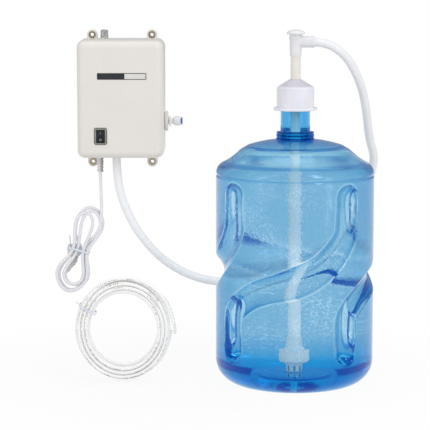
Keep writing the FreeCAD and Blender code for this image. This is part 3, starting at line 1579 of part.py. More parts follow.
def groove_cutters(grown):
    """Round bars along the grip grooves, with round ends, made thicker by a wall."""
    bar_r = (groove_w ** 2 / 4 + groove_depth ** 2) / (2 * groove_depth)
    path_r = bottle_r + bar_r - groove_depth
    places = []
    for deg, h, fall_deg in groove_way:
        angle, fall = math.radians(deg), math.radians(fall_deg)
        p = V(bottle_x + path_r * math.sin(angle), bottle_y - path_r * math.cos(angle), floor_z + h)
        leftwards = V(-math.cos(angle), -math.sin(angle), 0)
        places.append((p, leftwards * math.cos(fall) - Z_AXIS * math.sin(fall)))
    wire = wound_wire(places, "grip groove", 2 * bar_r)
    bar = bar_along(wire, places[0][0], places[0][1], 2 * (bar_r + grown))
    ends = [Part.makeSphere(bar_r + grown, places[n][0]) for n in (0, -1)]
    return around(bar.fuse(ends), bottle_axis, groove_count)


def make_bottle():
    """A hollow bottle with a pushed-up base, grip grooves, a domed top and a ringed neck."""
    outline, axis_low, crown_end = bottle_outline(0)
    top = neck_base_h + neck_ring_h + neck_h
    ring_top = neck_base_h + neck_ring_h
    outside = revolved(outline, [crown_end, V(neck_ring_d / 2, 0, ring_top - 2),
                                 V(neck_ring_d / 2 - 2, 0, ring_top), V(neck_d / 2, 0, ring_top),
                                 V(neck_d / 2, 0, top - lip_h), V(lip_d / 2, 0, top - lip_h + 3),
                                 V(lip_d / 2, 0, top - 1), V(lip_d / 2 - 1, 0, top), V(0, 0, top), axis_low])
    outline, axis_low, crown_end = bottle_outline(bottle_wall)
    inside = revolved(outline, [crown_end, V(neck_bore / 2, 0, neck_base_h), V(neck_bore / 2, 0, top + 1),
                                V(0, 0, top + 1), axis_low])
    return outside.cut(groove_cutters(0)).cut(inside.cut(groove_cutters(bottle_wall)))


def on_axis(z):
    """A point on the bottle's axis."""
    return V(bottle_x, bottle_y, z)


# Cap

def make_cap():
    """The flanged cap, its ledge over the bottle's lip, and the cone round the wand."""
    low, seat, shoulder = 0, cap_seat_z - cap_low_z, cap_shoulder_z - cap_low_z
    outer, flange, hole = cap_d / 2, cap_flange_d / 2, stem_d / 2 + clear
    bore = outer - cap_wall
    outline = [(bore, low), (flange - 1, low), (flange, low + 1), (flange, cap_flange_t - 1),
               (flange - 1, cap_flange_t), (outer, cap_flange_t), (outer, shoulder - 1.5),
               (cap_cone_d / 2, shoulder), (cap_top_d / 2 + 1, shoulder + cap_cone_h - 1),
               (cap_top_d / 2, shoulder + cap_cone_h), (hole, shoulder + cap_cone_h),
               (hole, shoulder + cap_cone_h / 2), (cap_cone_d / 2 - 2 * cap_wall, shoulder - cap_wall),
               (bore, shoulder - cap_wall), (bore, seat + cap_seat_t), (neck_bore / 2, seat + cap_seat_t),
               (neck_bore / 2, seat), (bore, seat)]
    return turned(outline, on_axis(cap_low_z))


def make_cap_gasket():
    return ring(lip_d, neck_bore, on_axis(mouth_z), Z_AXIS, cap_gasket_t)


# Foot valve, from the bottom up

def make_foot_strainer():
    """A slotted basket, closed below, with a rim that the barrel stands on."""
    rim, tip, wall = strainer_d / 2, strainer_tip_d / 2, strainer_wall
    outline = [(0, 0), (tip - 1, 0), (tip, 1), (tip, strainer_h * 0.7), (rim, strainer_h * 0.85),
               (rim, strainer_h), (tip - wall, strainer_h), (tip - wall, wall), (0, wall)]
    basket = turned(outline, on_axis(foot_z))
    slot = block(bottle_x, bottle_x + rim, bottle_y - slot_w / 2, bottle_y + slot_w / 2,
                 foot_z + wall - 0.8, foot_z + wall - 0.8 + slot_h)
    return basket.cut(around(slot, bottle_axis, strainer_slots))


def make_foot_barrel():
    """The valve's cup, with the seat in its floor."""
    outer, inner = barrel_d / 2, barrel_d / 2 - barrel_wall
    outline = [(seat_d / 2, 0), (outer - 2, 0), (outer, 2), (outer, barrel_h), (inner, barrel_h),
               (inner, seat_t), (seat_d / 2 + 1, seat_t), (seat_d / 2, seat_t - 1)]
    return turned(outline, on_axis(barrel_z))


def make_foot_seal():
    inner = barrel_d / 2 - barrel_wall - press
    z = adapter_z - adapter_plug_h
    return ring(2 * inner, 2 * (inner - foot_seal_t), on_axis(z), Z_AXIS, foot_seal_t)


def make_foot_adapter():
    """The plug that closes the barrel, its ring, and the sleeve for the wand."""
    plug, neck = barrel_d / 2 - barrel_wall - press, stem_bore / 2
    groove = plug - foot_seal_t
    ring_r, sleeve_r, socket = adapter_ring_d / 2, adapter_sleeve_d / 2, stem_d / 2 + press
    low = -adapter_plug_h
    top = adapter_ring_h + adapter_sleeve_h
    outline = [(neck, low), (groove, low), (groove, low + foot_seal_t), (plug, low + foot_seal_t),
               (plug, 0), (ring_r, 0), (ring_r, adapter_ring_h - 0.8), (ring_r - 0.8, adapter_ring_h),
               (sleeve_r, adapter_ring_h), (sleeve_r - 1.2, top), (socket, top),
               (socket, top - adapter_lap), (neck, top - adapter_lap)]
    return turned(outline, on_axis(adapter_z))


def make_poppet():
    """A disc on the seat, with a cross-shaped guide through it."""
    disc = rod(poppet_d, on_axis(barrel_z + seat_t + running), Z_AXIS, poppet_t)
    low = barrel_z + seat_t - poppet_guide_l
    guide = rod(poppet_guide_d, on_axis(low), Z_AXIS, poppet_guide_l + poppet_t / 2)
    post = rod(poppet_guide_d, on_axis(barrel_z + seat_t + running), Z_AXIS, poppet_t * 1.6)
    return joined(disc, guide, post)


def make_poppet_spring():
    """A coil spring between the poppet and the adapter."""
    low = barrel_z + seat_t + poppet_t + running + spring_wire_d / 2 + slip
    high = adapter_z - adapter_plug_h - spring_wire_d / 2 - slip
    r, steps = spring_d / 2, 4 * spring_turns
    rise = (high - low) / steps
    places = []
    for k in range(steps + 1):
        angle = math.radians(90 * k)
        p = V(bottle_x + r * math.cos(angle), bottle_y + r * math.sin(angle), low + k * rise)
        t = V(-r * math.sin(angle), r * math.cos(angle), rise / (math.pi / 2))
        t.normalize()
        places.append((p, t))
    return wound_bar(places, spring_wire_d, "poppet spring")


# Wand and tee

def make_wand_tube():
    return ring(stem_d, stem_bore, on_axis(stem_z), Z_AXIS, stem_top - stem_z)


def make_tee():
    """The tapered tee with its band, and the arm that takes the hose."""
    top, low = tee_top_d / 2, tee_bottom_d / 2
    band = tee_h - tee_band_drop
    outline = [(0, 0), (low, 0), (low + (top - low) * 0.6, band - 0.8), (tee_band_d / 2, band),
               (tee_band_d / 2, band + tee_band_h), (top, band + tee_band_h + 0.6), (top, tee_h), (0, tee_h)]
    body = turned(outline, on_axis(tee_z))
    arm = rod(arm_d, on_axis(arm_z), X_AXIS, arm_reach)
    mouth = [e for e in arm.Edges if e.BoundBox.XMin > bottle_x + arm_reach - 1e-4]
    arm = arm.makeFillet(0.8, mouth)
    cuts = [rod(stem_d + 2 * press, on_axis(tee_z), Z_AXIS, tee_lap),
            rod(stem_bore, on_axis(tee_z), Z_AXIS, arm_z - tee_z + hose_bore / 2),
            rod(hose_bore, on_axis(arm_z), X_AXIS, arm_reach),
            rod(hose_d + 2 * press, on_axis(arm_z) + X_AXIS * (arm_reach - arm_lap), X_AXIS, arm_lap + 1),
            rod(knob_plug_d, on_axis(tee_top - knob_plug_l), Z_AXIS, knob_plug_l)]
    return joined(body, arm).cut(cuts)


def make_knob():
    """The mushroom-shaped plug in the top of the tee."""
    r, rim = knob_d / 2, knob_rim_t
    outline = [(0, -knob_plug_l + slip), (knob_plug_d / 2 - press, -knob_plug_l + slip),
               (knob_plug_d / 2 - press, 0), (r - 1.2, 0), (r, 1.2), (r, rim)]
    steps = 6
    for k in range(1, steps + 1):
        angle = math.radians(90 * k / steps)
        outline.append((r * math.cos(angle), rim + (knob_h - rim) * math.sin(angle)))
    return turned(outline, on_axis(tee_top))


# The parts, by the names of their nodes

parts = {
    "back_shell": make_back_shell,
    "front_cover": make_front_cover,
    "case_seals": make_case_seals,
    "ear_eyelets": make_ear_eyelets,
    "name_plate": make_name_plate,
    "switch_housing": make_switch_housing,
    "rocker": make_rocker,
    "reset_barrel": make_reset_barrel,
    "reset_body": make_reset_body,
    "reset_button": make_reset_button,
    "outlet_flange": make_outlet_flange,
    "outlet_lock_nut": make_outlet_lock_nut,
    "outlet_fitting": make_outlet_fitting,
    "outlet_oring": make_outlet_oring,
    "outlet_collet": make_outlet_collet,
    "delivery_tube": make_delivery_tube,
    "hose_gland": make_hose_gland,
    "strain_relief": make_strain_relief,
    "motor_can": make_motor_can,
    "motor_end_bell": make_motor_end_bell,
    "bearings": make_bearings,
    "motor_magnets": make_motor_magnets,
    "eccentric_shaft": make_eccentric_shaft,
    "armature_core": make_armature_core,
    "windings_and_commutator": make_windings_and_commutator,
    "brushes": make_brushes,
    "drive_housing": make_drive_housing,
    "wobble_plate": make_wobble_plate,
    "diaphragm": make_diaphragm,
    "valve_plate": make_valve_plate,
    "pump_cover": make_pump_cover,
    "pressure_switch": make_pressure_switch,
    "pressure_plunger": make_pressure_plunger,
    "pump_bracket": make_pump_bracket,
    "rubber_mounts": make_rubber_mounts,
    "motor_band": make_motor_band,
    "power_board": make_power_board,
    "screws": make_screws,
    "board_parts": make_board_parts,
    "wiring": make_wiring,
    "suction_hose": make_suction_hose,
    "power_cord": make_power_cord,
    "power_cord_hank": make_power_cord_hank,
    "hank_tie": make_hank_tie,
    "plug": make_plug,
    "plug_blades": make_plug_blades,
    "tubing_coil": make_tubing_coil,
    "coil_tie": make_coil_tie,
    "bottle": make_bottle,
    "cap": make_cap,
    "cap_gasket": make_cap_gasket,
    "foot_strainer": make_foot_strainer,
    "foot_barrel": make_foot_barrel,
    "foot_seal": make_foot_seal,
    "foot_adapter": make_foot_adapter,
    "poppet": make_poppet,
    "poppet_spring": make_poppet_spring,
    "wand_tube": make_wand_tube,
    "tee": make_tee,
    "knob": make_knob,
}

os.makedirs("parts", exist_ok=True)
for name, make in parts.items():
    make().exportStep(f"parts/{name}.step")
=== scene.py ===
import math

import bpy
import numpy as np
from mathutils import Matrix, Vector


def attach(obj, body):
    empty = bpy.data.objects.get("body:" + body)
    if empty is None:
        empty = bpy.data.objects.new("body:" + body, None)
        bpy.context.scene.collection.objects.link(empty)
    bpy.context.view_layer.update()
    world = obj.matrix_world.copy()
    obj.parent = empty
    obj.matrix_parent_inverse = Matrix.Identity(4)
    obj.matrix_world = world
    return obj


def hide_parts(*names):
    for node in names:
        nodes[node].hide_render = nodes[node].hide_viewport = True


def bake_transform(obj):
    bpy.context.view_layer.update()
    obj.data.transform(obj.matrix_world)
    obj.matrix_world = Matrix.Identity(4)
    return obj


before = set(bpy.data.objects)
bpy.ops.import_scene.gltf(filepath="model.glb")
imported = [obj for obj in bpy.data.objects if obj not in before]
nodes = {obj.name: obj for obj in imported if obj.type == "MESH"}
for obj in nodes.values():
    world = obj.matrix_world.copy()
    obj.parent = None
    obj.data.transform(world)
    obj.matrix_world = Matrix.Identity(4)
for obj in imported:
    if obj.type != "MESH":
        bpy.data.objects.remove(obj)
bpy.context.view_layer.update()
ROOT = "pump_and_bottle"
scene = bpy.context.scene
MM = 0.001

# Places shared with the solids, in metres
FLOOR_Z = -0.4785
BOTTLE = Vector((0.301, -0.160, FLOOR_Z))


# Materials

def node(tree, kind, inputs=None, **settings):
    """A new node. Each input is a value, or a socket to link it to."""
    made = tree.nodes.new(kind)
    for key, value in settings.items():
        setattr(made, key, value)
    for key, value in (inputs or {}).items():
        if isinstance(value, bpy.types.NodeSocket):
            tree.links.new(value, made.inputs[key])
        else:
            made.inputs[key].default_value = value
    return made


def new_material(name):
    """A material, its tree, its shader and the place on the object."""
    material = bpy.data.materials.new(name)
    material.use_nodes = True
    tree = material.node_tree
    return material, tree, tree.nodes["Principled BSDF"], node(tree, "ShaderNodeTexCoord").outputs["Object"]


def maths(tree, operation, a, b=0.5, c=0.5):
    return node(tree, "ShaderNodeMath", {0: a, 1: b, 2: c}, operation=operation).outputs[0]


def times(tree, a, b):
    return maths(tree, "MULTIPLY", a, b)


def minus(tree, a, b):
    return maths(tree, "SUBTRACT", a, b)


def larger(tree, a, b):
    return maths(tree, "MAXIMUM", a, b)


def below(tree, value, limit):
    """1 where a value is less than a limit, 0 elsewhere."""
    return maths(tree, "LESS_THAN", value, limit)


def above(tree, value, limit):
    """1 where a value is greater than a limit, 0 elsewhere."""
    return maths(tree, "GREATER_THAN", value, limit)


def apart(tree, value, middle):
    """How far a value lies from a middle."""
    return maths(tree, "ABSOLUTE", minus(tree, value, middle))


def distance(tree, a, b):
    """The distance of a point that lies a across and b up."""
    return maths(tree, "SQRT", maths(tree, "ADD", times(tree, a, a), times(tree, b, b)))


def axes(tree, at):
    """A place's x, y and z."""
    return node(tree, "ShaderNodeSeparateXYZ", {0: at}).outputs


def mixed(tree, factor, a, b, blend="MIX"):
    """A colour between a and b, each a colour or a socket."""
    mix = node(tree, "ShaderNodeMix", {0: factor, 6: a, 7: b}, data_type="RGBA", blend_type=blend)
    return mix.outputs[2]


def noise(tree, vector, scale, detail=4.0, rough=0.55):
    return node(tree, "ShaderNodeTexNoise",
                {"Vector": vector, "Scale": scale, "Detail": detail, "Roughness": rough}).outputs["Fac"]


def spread(tree, value, low, high, to_low=0.0, to_high=1.0):
    """A value mapped from one range to another, clamped."""
    return node(tree, "ShaderNodeMapRange",
                {"Value": value, "From Min": low, "From Max": high, "To Min": to_low, "To Max": to_high}
                ).outputs["Result"]


def rgba(colour):
    return (*colour, 1.0)


def shade(colour, factor):
    return tuple(min(1.0, c * factor) for c in colour)


def around(colour, vary):
    """A colour a little darker, and a little lighter."""
    return shade(colour, 1 - vary), shade(colour, 1 + vary)


def srgb(text):
    """A linear colour from a hex code."""
    values = [int(text[i:i + 2], 16) / 255 for i in (0, 2, 4)]
    return tuple(v / 12.92 if v <= 0.04045 else ((v + 0.055) / 1.055) ** 2.4 for v in values)


def drift(tree, at, scale, low=0.0, high=1.0):
    """A value that wanders between low and high from place to place."""
    return spread(tree, noise(tree, at, scale), 0.3, 0.7, low, high)


def mottle(tree, at, scale, a, b):
    """A colour that wanders between a and b."""
    return mixed(tree, drift(tree, at, scale), rgba(a), rgba(b))


def relief(tree, bsdf, height, distance, strength):
    """Fine unevenness of a shader's surface."""
    bump = node(tree, "ShaderNodeBump", {"Height": height, "Distance": distance, "Strength": strength})
    tree.links.new(bump.outputs["Normal"], bsdf.inputs["Normal"])


def linked(tree, bsdf, sockets):
    """Shader values that differ from place to place."""
    for key, socket in sockets.items():
        tree.links.new(socket, bsdf.inputs[key])


def even(bsdf, values):
    """Shader values that are the same all over."""
    for key, value in values.items():
        bsdf.inputs[key].default_value = value


def surface(name, colour, rough=0.45, metal=0.0, vary=0.05, scale=30.0, grain=0.00004,
            grain_scale=900.0, coat=0.0, sss=0.0, sss_radius=0.004, wear=0.0, uneven=0.06):
    """A moulded, drawn or painted surface: mottled colour, uneven gloss and a fine grain."""
    material, tree, bsdf, at = new_material(name)
    base = mottle(tree, at, scale, *around(colour, vary))
    if wear:
        speck = spread(tree, noise(tree, at, scale * 9, 6.0, 0.7), 0.6, 0.75, 0.0, wear)
        base = mixed(tree, speck, base, rgba(shade(colour, 0.6)))
    gloss = drift(tree, at, scale * 3, max(rough - uneven, 0.02), rough + uneven)
    linked(tree, bsdf, {"Base Color": base, "Roughness": gloss})
    relief(tree, bsdf, noise(tree, at, grain_scale, 2.0), grain, 0.6)
    even(bsdf, {"Metallic": metal, "Coat Weight": coat})
    if sss:
        even(bsdf, {"Subsurface Weight": sss, "Subsurface Radius": (1.0, 0.9, 0.85),
                    "Subsurface Scale": sss_radius})
    return material


def two_tone(name, axis, first, last, colour, other, vary=0.04, rough=0.41, grain=0.00004):
    """Soft vinyl that goes from one colour to another along an axis."""
    material, tree, bsdf, at = new_material(name)
    share = spread(tree, axes(tree, at)[axis], first, last)
    ends = [mottle(tree, at, 90.0, *around(end, vary)) for end in (colour, other)]
    linked(tree, bsdf, {"Base Color": mixed(tree, share, *ends),
                        "Roughness": drift(tree, at, 240.0, rough - vary, rough + vary)})
    relief(tree, bsdf, noise(tree, at, 900.0, 2.0), grain, 0.6)
    return material


def cover(obj, material):
    """The material on every slot of an object."""
    if not obj.data.materials:
        obj.data.materials.append(material)
    for slot in obj.material_slots:
        slot.material = material


# Meshes

def mesh_object(name, verts, faces, material, smooth=True):
    mesh = bpy.data.meshes.new(name)
    mesh.from_pydata([tuple(v) for v in verts], [], faces)
    mesh.update()
    if smooth:
        mesh.polygons.foreach_set("use_smooth", [True] * len(mesh.polygons))
    obj = bpy.data.objects.new(name, mesh)
    scene.collection.objects.link(obj)
    cover(obj, material)
    return obj


def ring_faces(rows, columns):
    """Quads between rows of points that close round."""
    faces = []
    for i in range(rows - 1):
        for j in range(columns):
            k = (j + 1) % columns
            faces.append((i * columns + j, i * columns + k, (i + 1) * columns + k, (i + 1) * columns + j))
    return faces


def lathe(name, rows, centre, material, closed_start=True):
    """A surface of revolution from rows of an array of radii and a height each, closed at its last row."""
    columns = len(rows[0][0])
    turn = np.linspace(0, 2 * math.pi, columns, endpoint=False)
    points = []
    for radii, height in rows:
        points.append(np.stack([centre[0] + radii * np.sin(turn), centre[1] - radii * np.cos(turn),
                                np.full(columns, centre[2] + height)], axis=1))
    faces = ring_faces(len(rows), columns)
    verts = [tuple(p) for p in np.concatenate(points)]
    if closed_start:
        verts.append((centre[0], centre[1], centre[2] + rows[0][1]))
        faces += [(len(verts) - 1, (j + 1) % columns, j) for j in range(columns)]
    last = (len(rows) - 1) * columns
    verts.append((centre[0], centre[1], centre[2] + rows[-1][1]))
    faces += [(len(verts) - 1, last + j, last + (j + 1) % columns) for j in range(columns)]
    return mesh_object(name, verts, faces, material)


# Bottle

# Points round the bottle
THETA = 400
# Sizes of its profile in millimetres: radius, push-up, lower corner, shoulder, wall, seam and rim
BODY, PUSH_UP, CORNER_R, SHOULDER_R, WALL, SEAM_Z, RIM_Z = 135, 22.3, 42.5, 20, 2.2, 360.6, 380.8
# The same radius, the water's level and how far above it the inside is wet, in metres
BODY_R, WATER_LEVEL, WATER_RISE = BODY * MM, 0.3755, 0.0012
# Heights on the bottle where its look changes, in metres: where a change starts and where it is done
FOOT = (0.070, 0.022)
UPPER_HALF = (0.16, 0.24)
SHOULDER = (0.38, 0.372)
DOME = (0.381, 0.385)
CROWN = (0.402, 0.409)
RING = (0.417, 0.4195)
NECK = (0.4335, 0.4345)
# The height of one pale stripe of painted highlight on the neck ring, and the stripes' pitch; dark stripes
# of painted shade lie between them
RING_STRIPE, STRIPE_PITCH = 0.4300, 0.0055
# A groove's places: degrees round the bottle, height, fall in degrees and half width, with millimetres
GROOVE = ((38.4, 331, 90, 23.5), (38.0, 282, 86, 25), (21.5, 224, 42, 25), (2.0, 197, 23, 27),
          (-21, 180, 16, 23), (-38, 162, 34, 21.5), (-52.8, 122, 87, 22.5), (-52.8, 72, 90, 22))
# Its depth, the softness of its edge and its lip in metres, and the steps between its places
GROOVE_DEPTH, GROOVE_SOFT, GROOVE_LIP, GROOVE_STEPS = 0.014, 0.0012, 0.0006, 24
# Where the painted streak of light in a groove's steep part begins and ends: a height and its softness
STREAK_LOW, STREAK_HIGH = (0.225, 0.03), (0.32, 0.02)
# Each pocket's middle (degrees, metres), half width and height, how much wider its top is, and depth
POCKETS = ((44.3, 0.308, 0.0085, 0.039, 0.35, 0.0018), (-47.5, 0.121, 0.0100, 0.046, -0.15, 0.0018),
           (-51, 0.058, 0.0150, 0.009, 0.0, 0.0022))


def through(places, steps):
    """Points on a smooth line through places with their directions."""
    out = []
    for (p, t), (q, u) in zip(places, places[1:]):
        reach = np.linalg.norm(q - p)
        for s in np.arange(steps) / steps:
            h = ((2 * s ** 3 - 3 * s ** 2 + 1), (s ** 3 - 2 * s ** 2 + s), (-2 * s ** 3 + 3 * s ** 2),
                 (s ** 3 - s ** 2))
            out.append(h[0] * p + h[1] * reach * t + h[2] * q + h[3] * reach * u)
    out.append(places[-1][0])
    return out


def groove_line():
    """The middle of a groove, unrolled: its way round, height and half width in metres."""
    places = []
    for deg, height, fall, half_w in GROOVE:
        fall = math.radians(fall)
        places.append((np.array([math.radians(deg) * BODY_R, height * MM, half_w * MM]),
                       np.array([-math.cos(fall), -math.sin(fall), 0])))
    return np.array(through(places, GROOVE_STEPS))


GROOVE_LINE = groove_line()


def soft_step(x):
    """From 0 to 1 while x does, with a level start and end."""
    x = np.clip(x, 0, 1)
    return x * x * (3 - 2 * x)


def hump(x, middle, width):
    """1 at the middle, falling off to both sides."""
    return np.exp(-((x - middle) / width) ** 2)


def dent(height):
    """How far the wall lies inside its cylinder all round at a height, and its clear marks, which are
    painted highlights, and its deep marks, which are painted shade lines.
    """
    quarter = THETA // 4
    degrees = np.arange(quarter) * 90 / quarter
    depth, clear, deep = np.zeros(quarter), np.zeros(quarter), np.zeros(quarter)
    painted_streak = soft_step((height - STREAK_LOW[0]) / STREAK_LOW[1])
    painted_streak = painted_streak * soft_step((STREAK_HIGH[0] - height) / STREAK_HIGH[1])
    for turn in (-90, 0, 90):
        deg = degrees + turn
        along = np.radians(deg)[:, None] * BODY_R - GROOVE_LINE[None, :, 0]
        up = height - GROOVE_LINE[None, :, 1]
        away = (np.hypot(along, up) / GROOVE_LINE[None, :, 2]).min(axis=1)
        inside = GROOVE_DEPTH * (1 - away ** 2)
        groove = np.where(away < 1.2, 0.5 * (inside + np.sqrt(inside ** 2 + GROOVE_SOFT ** 2)), 0)
        lip = -GROOVE_LIP * hump(away, 1.09, 0.07)
        # Painted highlights: a pale line along each groove's lip, and a pale streak down the middle of its
        # steep part
        clear = np.maximum(clear, hump(away, 1.03, 0.055))
        clear = np.maximum(clear, 0.5 * painted_streak * hump(away, 0, 0.3))
        # Painted shade: a deep blue line just inside each groove's lip
        deep = np.maximum(deep, 0.6 * hump(away, 0.91, 0.05))
        for centre_deg, centre_z, half_w, half_h, wide, extra in POCKETS:
            v = (height - centre_z) / half_h
            u = np.radians(deg - centre_deg) * BODY_R / (half_w * max(1 + wide * v, 0.3))
            leaf = np.sqrt(u ** 2 + v ** 2)
            groove = groove + extra * soft_step((1.0 - leaf) / 0.6)
            # Painted highlight over each pocket's middle, and painted shade along its outline
            painted_leaf_highlight = soft_step((0.86 - leaf) / 0.12)
            outline = hump(leaf, 0.95, 0.10)
            clear = np.maximum(clear * (1 - outline), painted_leaf_highlight)
            deep = np.maximum(deep * (1 - painted_leaf_highlight), outline)
        depth = np.maximum(depth, groove + lip)
        depth = np.where(np.abs(depth) < 1e-9, np.minimum(depth, lip), depth)
    return np.tile(depth, 4), np.tile(clear, 4), np.tile(deep, 4)


def arc_points(cr, cz, r, start, end, steps):
    """Points on an arc round a centre, between two angles in degrees."""
    return [(cr + r * math.cos(math.radians(a)), cz + r * math.sin(math.radians(a)))
            for a in np.linspace(start, end, steps)]


def bulged(a, b, sag, steps):
    """Points from a to b on a shallow arc whose middle is sag above its chord."""
    out = []
    for t in np.linspace(0, 1, steps):
        out.append((a[0] + (b[0] - a[0]) * t, a[1] + (b[1] - a[1]) * t + 4 * sag * t * (1 - t)))
    return out


def bottle_profile(inset):
    """The bottle's section in millimetres, from the base's middle to the foot of the neck."""
    base = [(r, PUSH_UP + inset) for r in (0.001, 20, 40)] + [(49, PUSH_UP - 0.2 + inset)]
    base += bulged((52, 21.4 + inset), (82, 1.5 + inset), 0, 8) + [(84.5 + inset / 4, 0.2 + inset)]
    base += [(88.5, inset)]
    corner = arc_points(BODY - CORNER_R, CORNER_R, CORNER_R - inset, -90, 0, 26)
    body = [(BODY - inset, z) for z in np.arange(44.2, 357.3, 1.5)]
    seam = [(BODY - inset - dip, z)
            for dip, z in ((0.1, 358.0), (1.0, 359.4), (1.2, SEAM_Z), (1.0, 361.6), (0.1, 362.8))]
    shoulder = arc_points(BODY - SHOULDER_R, 362, SHOULDER_R - inset, 5, 68, 18)
    slant = inset * 0.82
    low, mid, top = ((r - slant * share, z - slant)
                     for r, z, share in ((122, 380.6, 1), (98.5, 397.5, 0.6), (84.5, 407.0, 0.4)))
    dome = bulged(low, mid, -1.2, 12)[1:] + bulged(mid, top, 1.2, 9)[1:]
    ring = [(83.4, 408.0 - slant), (82.0, 409.0 - slant), (80.4, 409.7 - slant)]
    crown = bulged((79, 410.1 - slant), (34.5, 419.2 - slant), 1.2, 16)
    return base + corner + body + seam + shoulder + dome + ring + crown


def rim_shade_line(z):
    """How near a height in millimetres is to the shoulder band's lower or upper edge, where painted shade
    lines lie.
    """
    return hump(z, SEAM_Z, 1.2) + hump(z, RIM_Z, 1.2)


def bottle_rows(profile):
    """Rows of radii and marks. Between foot and shoulder the grooves are pressed in."""
    rows = []
    for r, z in profile:
        fade = soft_step((z - 30) / 14.0) * soft_step((362 - z) / 4.0)
        ring, clear, deep = np.full(THETA, r * MM), np.zeros(THETA), np.zeros(THETA)
        if fade > 0 and r > 100:
            depth, clear, deep = dent(z * MM)
            ring = ring - depth * fade
        # The deep marks carry painted shade lines, also along the shoulder band's edges
        rows.append((ring, z * MM, clear * fade, np.maximum(deep * fade, 0.55 * rim_shade_line(z))))
    return rows


def marked(rows, inner):
    """The rows with one more mark, for the outside or the inside."""
    return [(ring, z, clear, deep, np.full(THETA, inner)) for ring, z, clear, deep in rows]


def neck_outline():
    """The outside of the neck ring, neck and lip, then the inside down to the crown."""
    out = [(33.2, 419.6), (32.3, 420.6), (32.25, 422.4), (31.2, 423.1), (31.2, 423.9), (32.25, 424.6),
           (32.25, 428.6), (31.0, 429.4), (31.0, 430.1), (32.0, 430.7), (32.0, 431.8), (31.2, 432.8),
           (29.5, 433.0), (25.8, 433.3), (25.1, 434.2), (25.1, 445), (25.1, 460), (25.1, 475.6),
           (25.4, 476.2), (28.2, 479.0), (28.5, 480), (28.5, 488.6), (28.1, 489.6), (27.4, 490.0)]
    back = [(23.0, 490.0), (22.3, 489.6), (22.0, 488.8), (22.0, 470), (22.0, 450), (22.0, 432),
            (22.3, 421.0), (24.0, 417.9), (28.0, 417.0)]
    return out, back


def make_bottle(dry, wet):
    """The hollow bottle. Its inside below the water is wet, so light bends less there."""
    out, back = neck_outline()
    plain = np.zeros(THETA)
    out, back = ([(np.full(THETA, r * MM), z * MM, plain, plain) for r, z in line] for line in (out, back))
    inside = bottle_rows(bottle_profile(WALL))[::-1]
    rows = marked(bottle_rows(bottle_profile(0)) + out, 0.0) + marked(back + inside, 1.0)
    body = lathe("bottle_body", [row[:2] for row in rows], BOTTLE, dry)
    for name, column in (("clear", 2), ("deep", 3), ("inner", 4)):
        marks = body.data.attributes.new(name, "FLOAT", "POINT")
        ends = [np.full(1, row[column][0]) for row in (rows[0], rows[-1])]
        values = np.concatenate([row[column] for row in rows] + ends)
        marks.data.foreach_set("value", values.astype(np.float32))
    body.data.materials.append(wet)
    polygons = body.data.polygons
    inner_rows = range(len(rows) - len(inside), len(rows))
    wet_rows = [row for row in inner_rows if rows[row][1] < WATER_LEVEL + WATER_RISE]
    wet_faces = [k for row in wet_rows for k in range(row * THETA, (row + 1) * THETA)]
    for k in wet_faces + list(range(len(polygons) - THETA, len(polygons))):
        polygons[k].material_index = 1
    return body


def make_water(material):
    """The water's surface, raised where it meets the wall."""
    rows = []
    for r, rise in ((124.6, 1.4), (125.0, 0.9), (124.9, 0.5), (124, 0.2), (121, 0.05), (112, 0), (60, 0)):
        rows.append((np.full(THETA, r * MM), WATER_LEVEL + rise * MM))
    return lathe("water", rows, BOTTLE, material, closed_start=False)


def blended(tree, share, shader, other):
    """The material's surface, between one shader and another."""
    mix = node(tree, "ShaderNodeMixShader", {0: share, 1: shader.outputs[0], 2: other.outputs[0]})
    tree.links.new(mix.outputs[0], tree.nodes["Material Output"].inputs["Surface"])
    return mix


def soften_shadow(tree, shader, tint, room_too=False):
    """The shader, letting the lamps' light through in a tint, and the room's as well if it is told."""
    path = node(tree, "ShaderNodeLightPath")
    clear = node(tree, "ShaderNodeBsdfTransparent", {"Color": rgba(tint)})
    through = path.outputs["Is Shadow Ray"]
    if room_too:
        through = larger(tree, through, path.outputs["Is Diffuse Ray"])
    blended(tree, through, shader, clear)


def let_light_in(tree, shader, tint):
    """The shader, clear to light on its way to what is inside. A ray that keeps turning inside the
    wall, with three reflections or ten turns in all, ends in a deep blue emission: a painted glow."""
    path = node(tree, "ShaderNodeLightPath")
    lost = larger(tree, above(tree, path.outputs["Glossy Depth"], 2.5),
                  above(tree, path.outputs["Ray Depth"], 9.5))
    glow = node(tree, "ShaderNodeEmission", {"Color": rgba((0.015, 0.20, 0.58)), "Strength": 1.0})
    soften_shadow(tree, blended(tree, lost, shader, glow), tint, True)


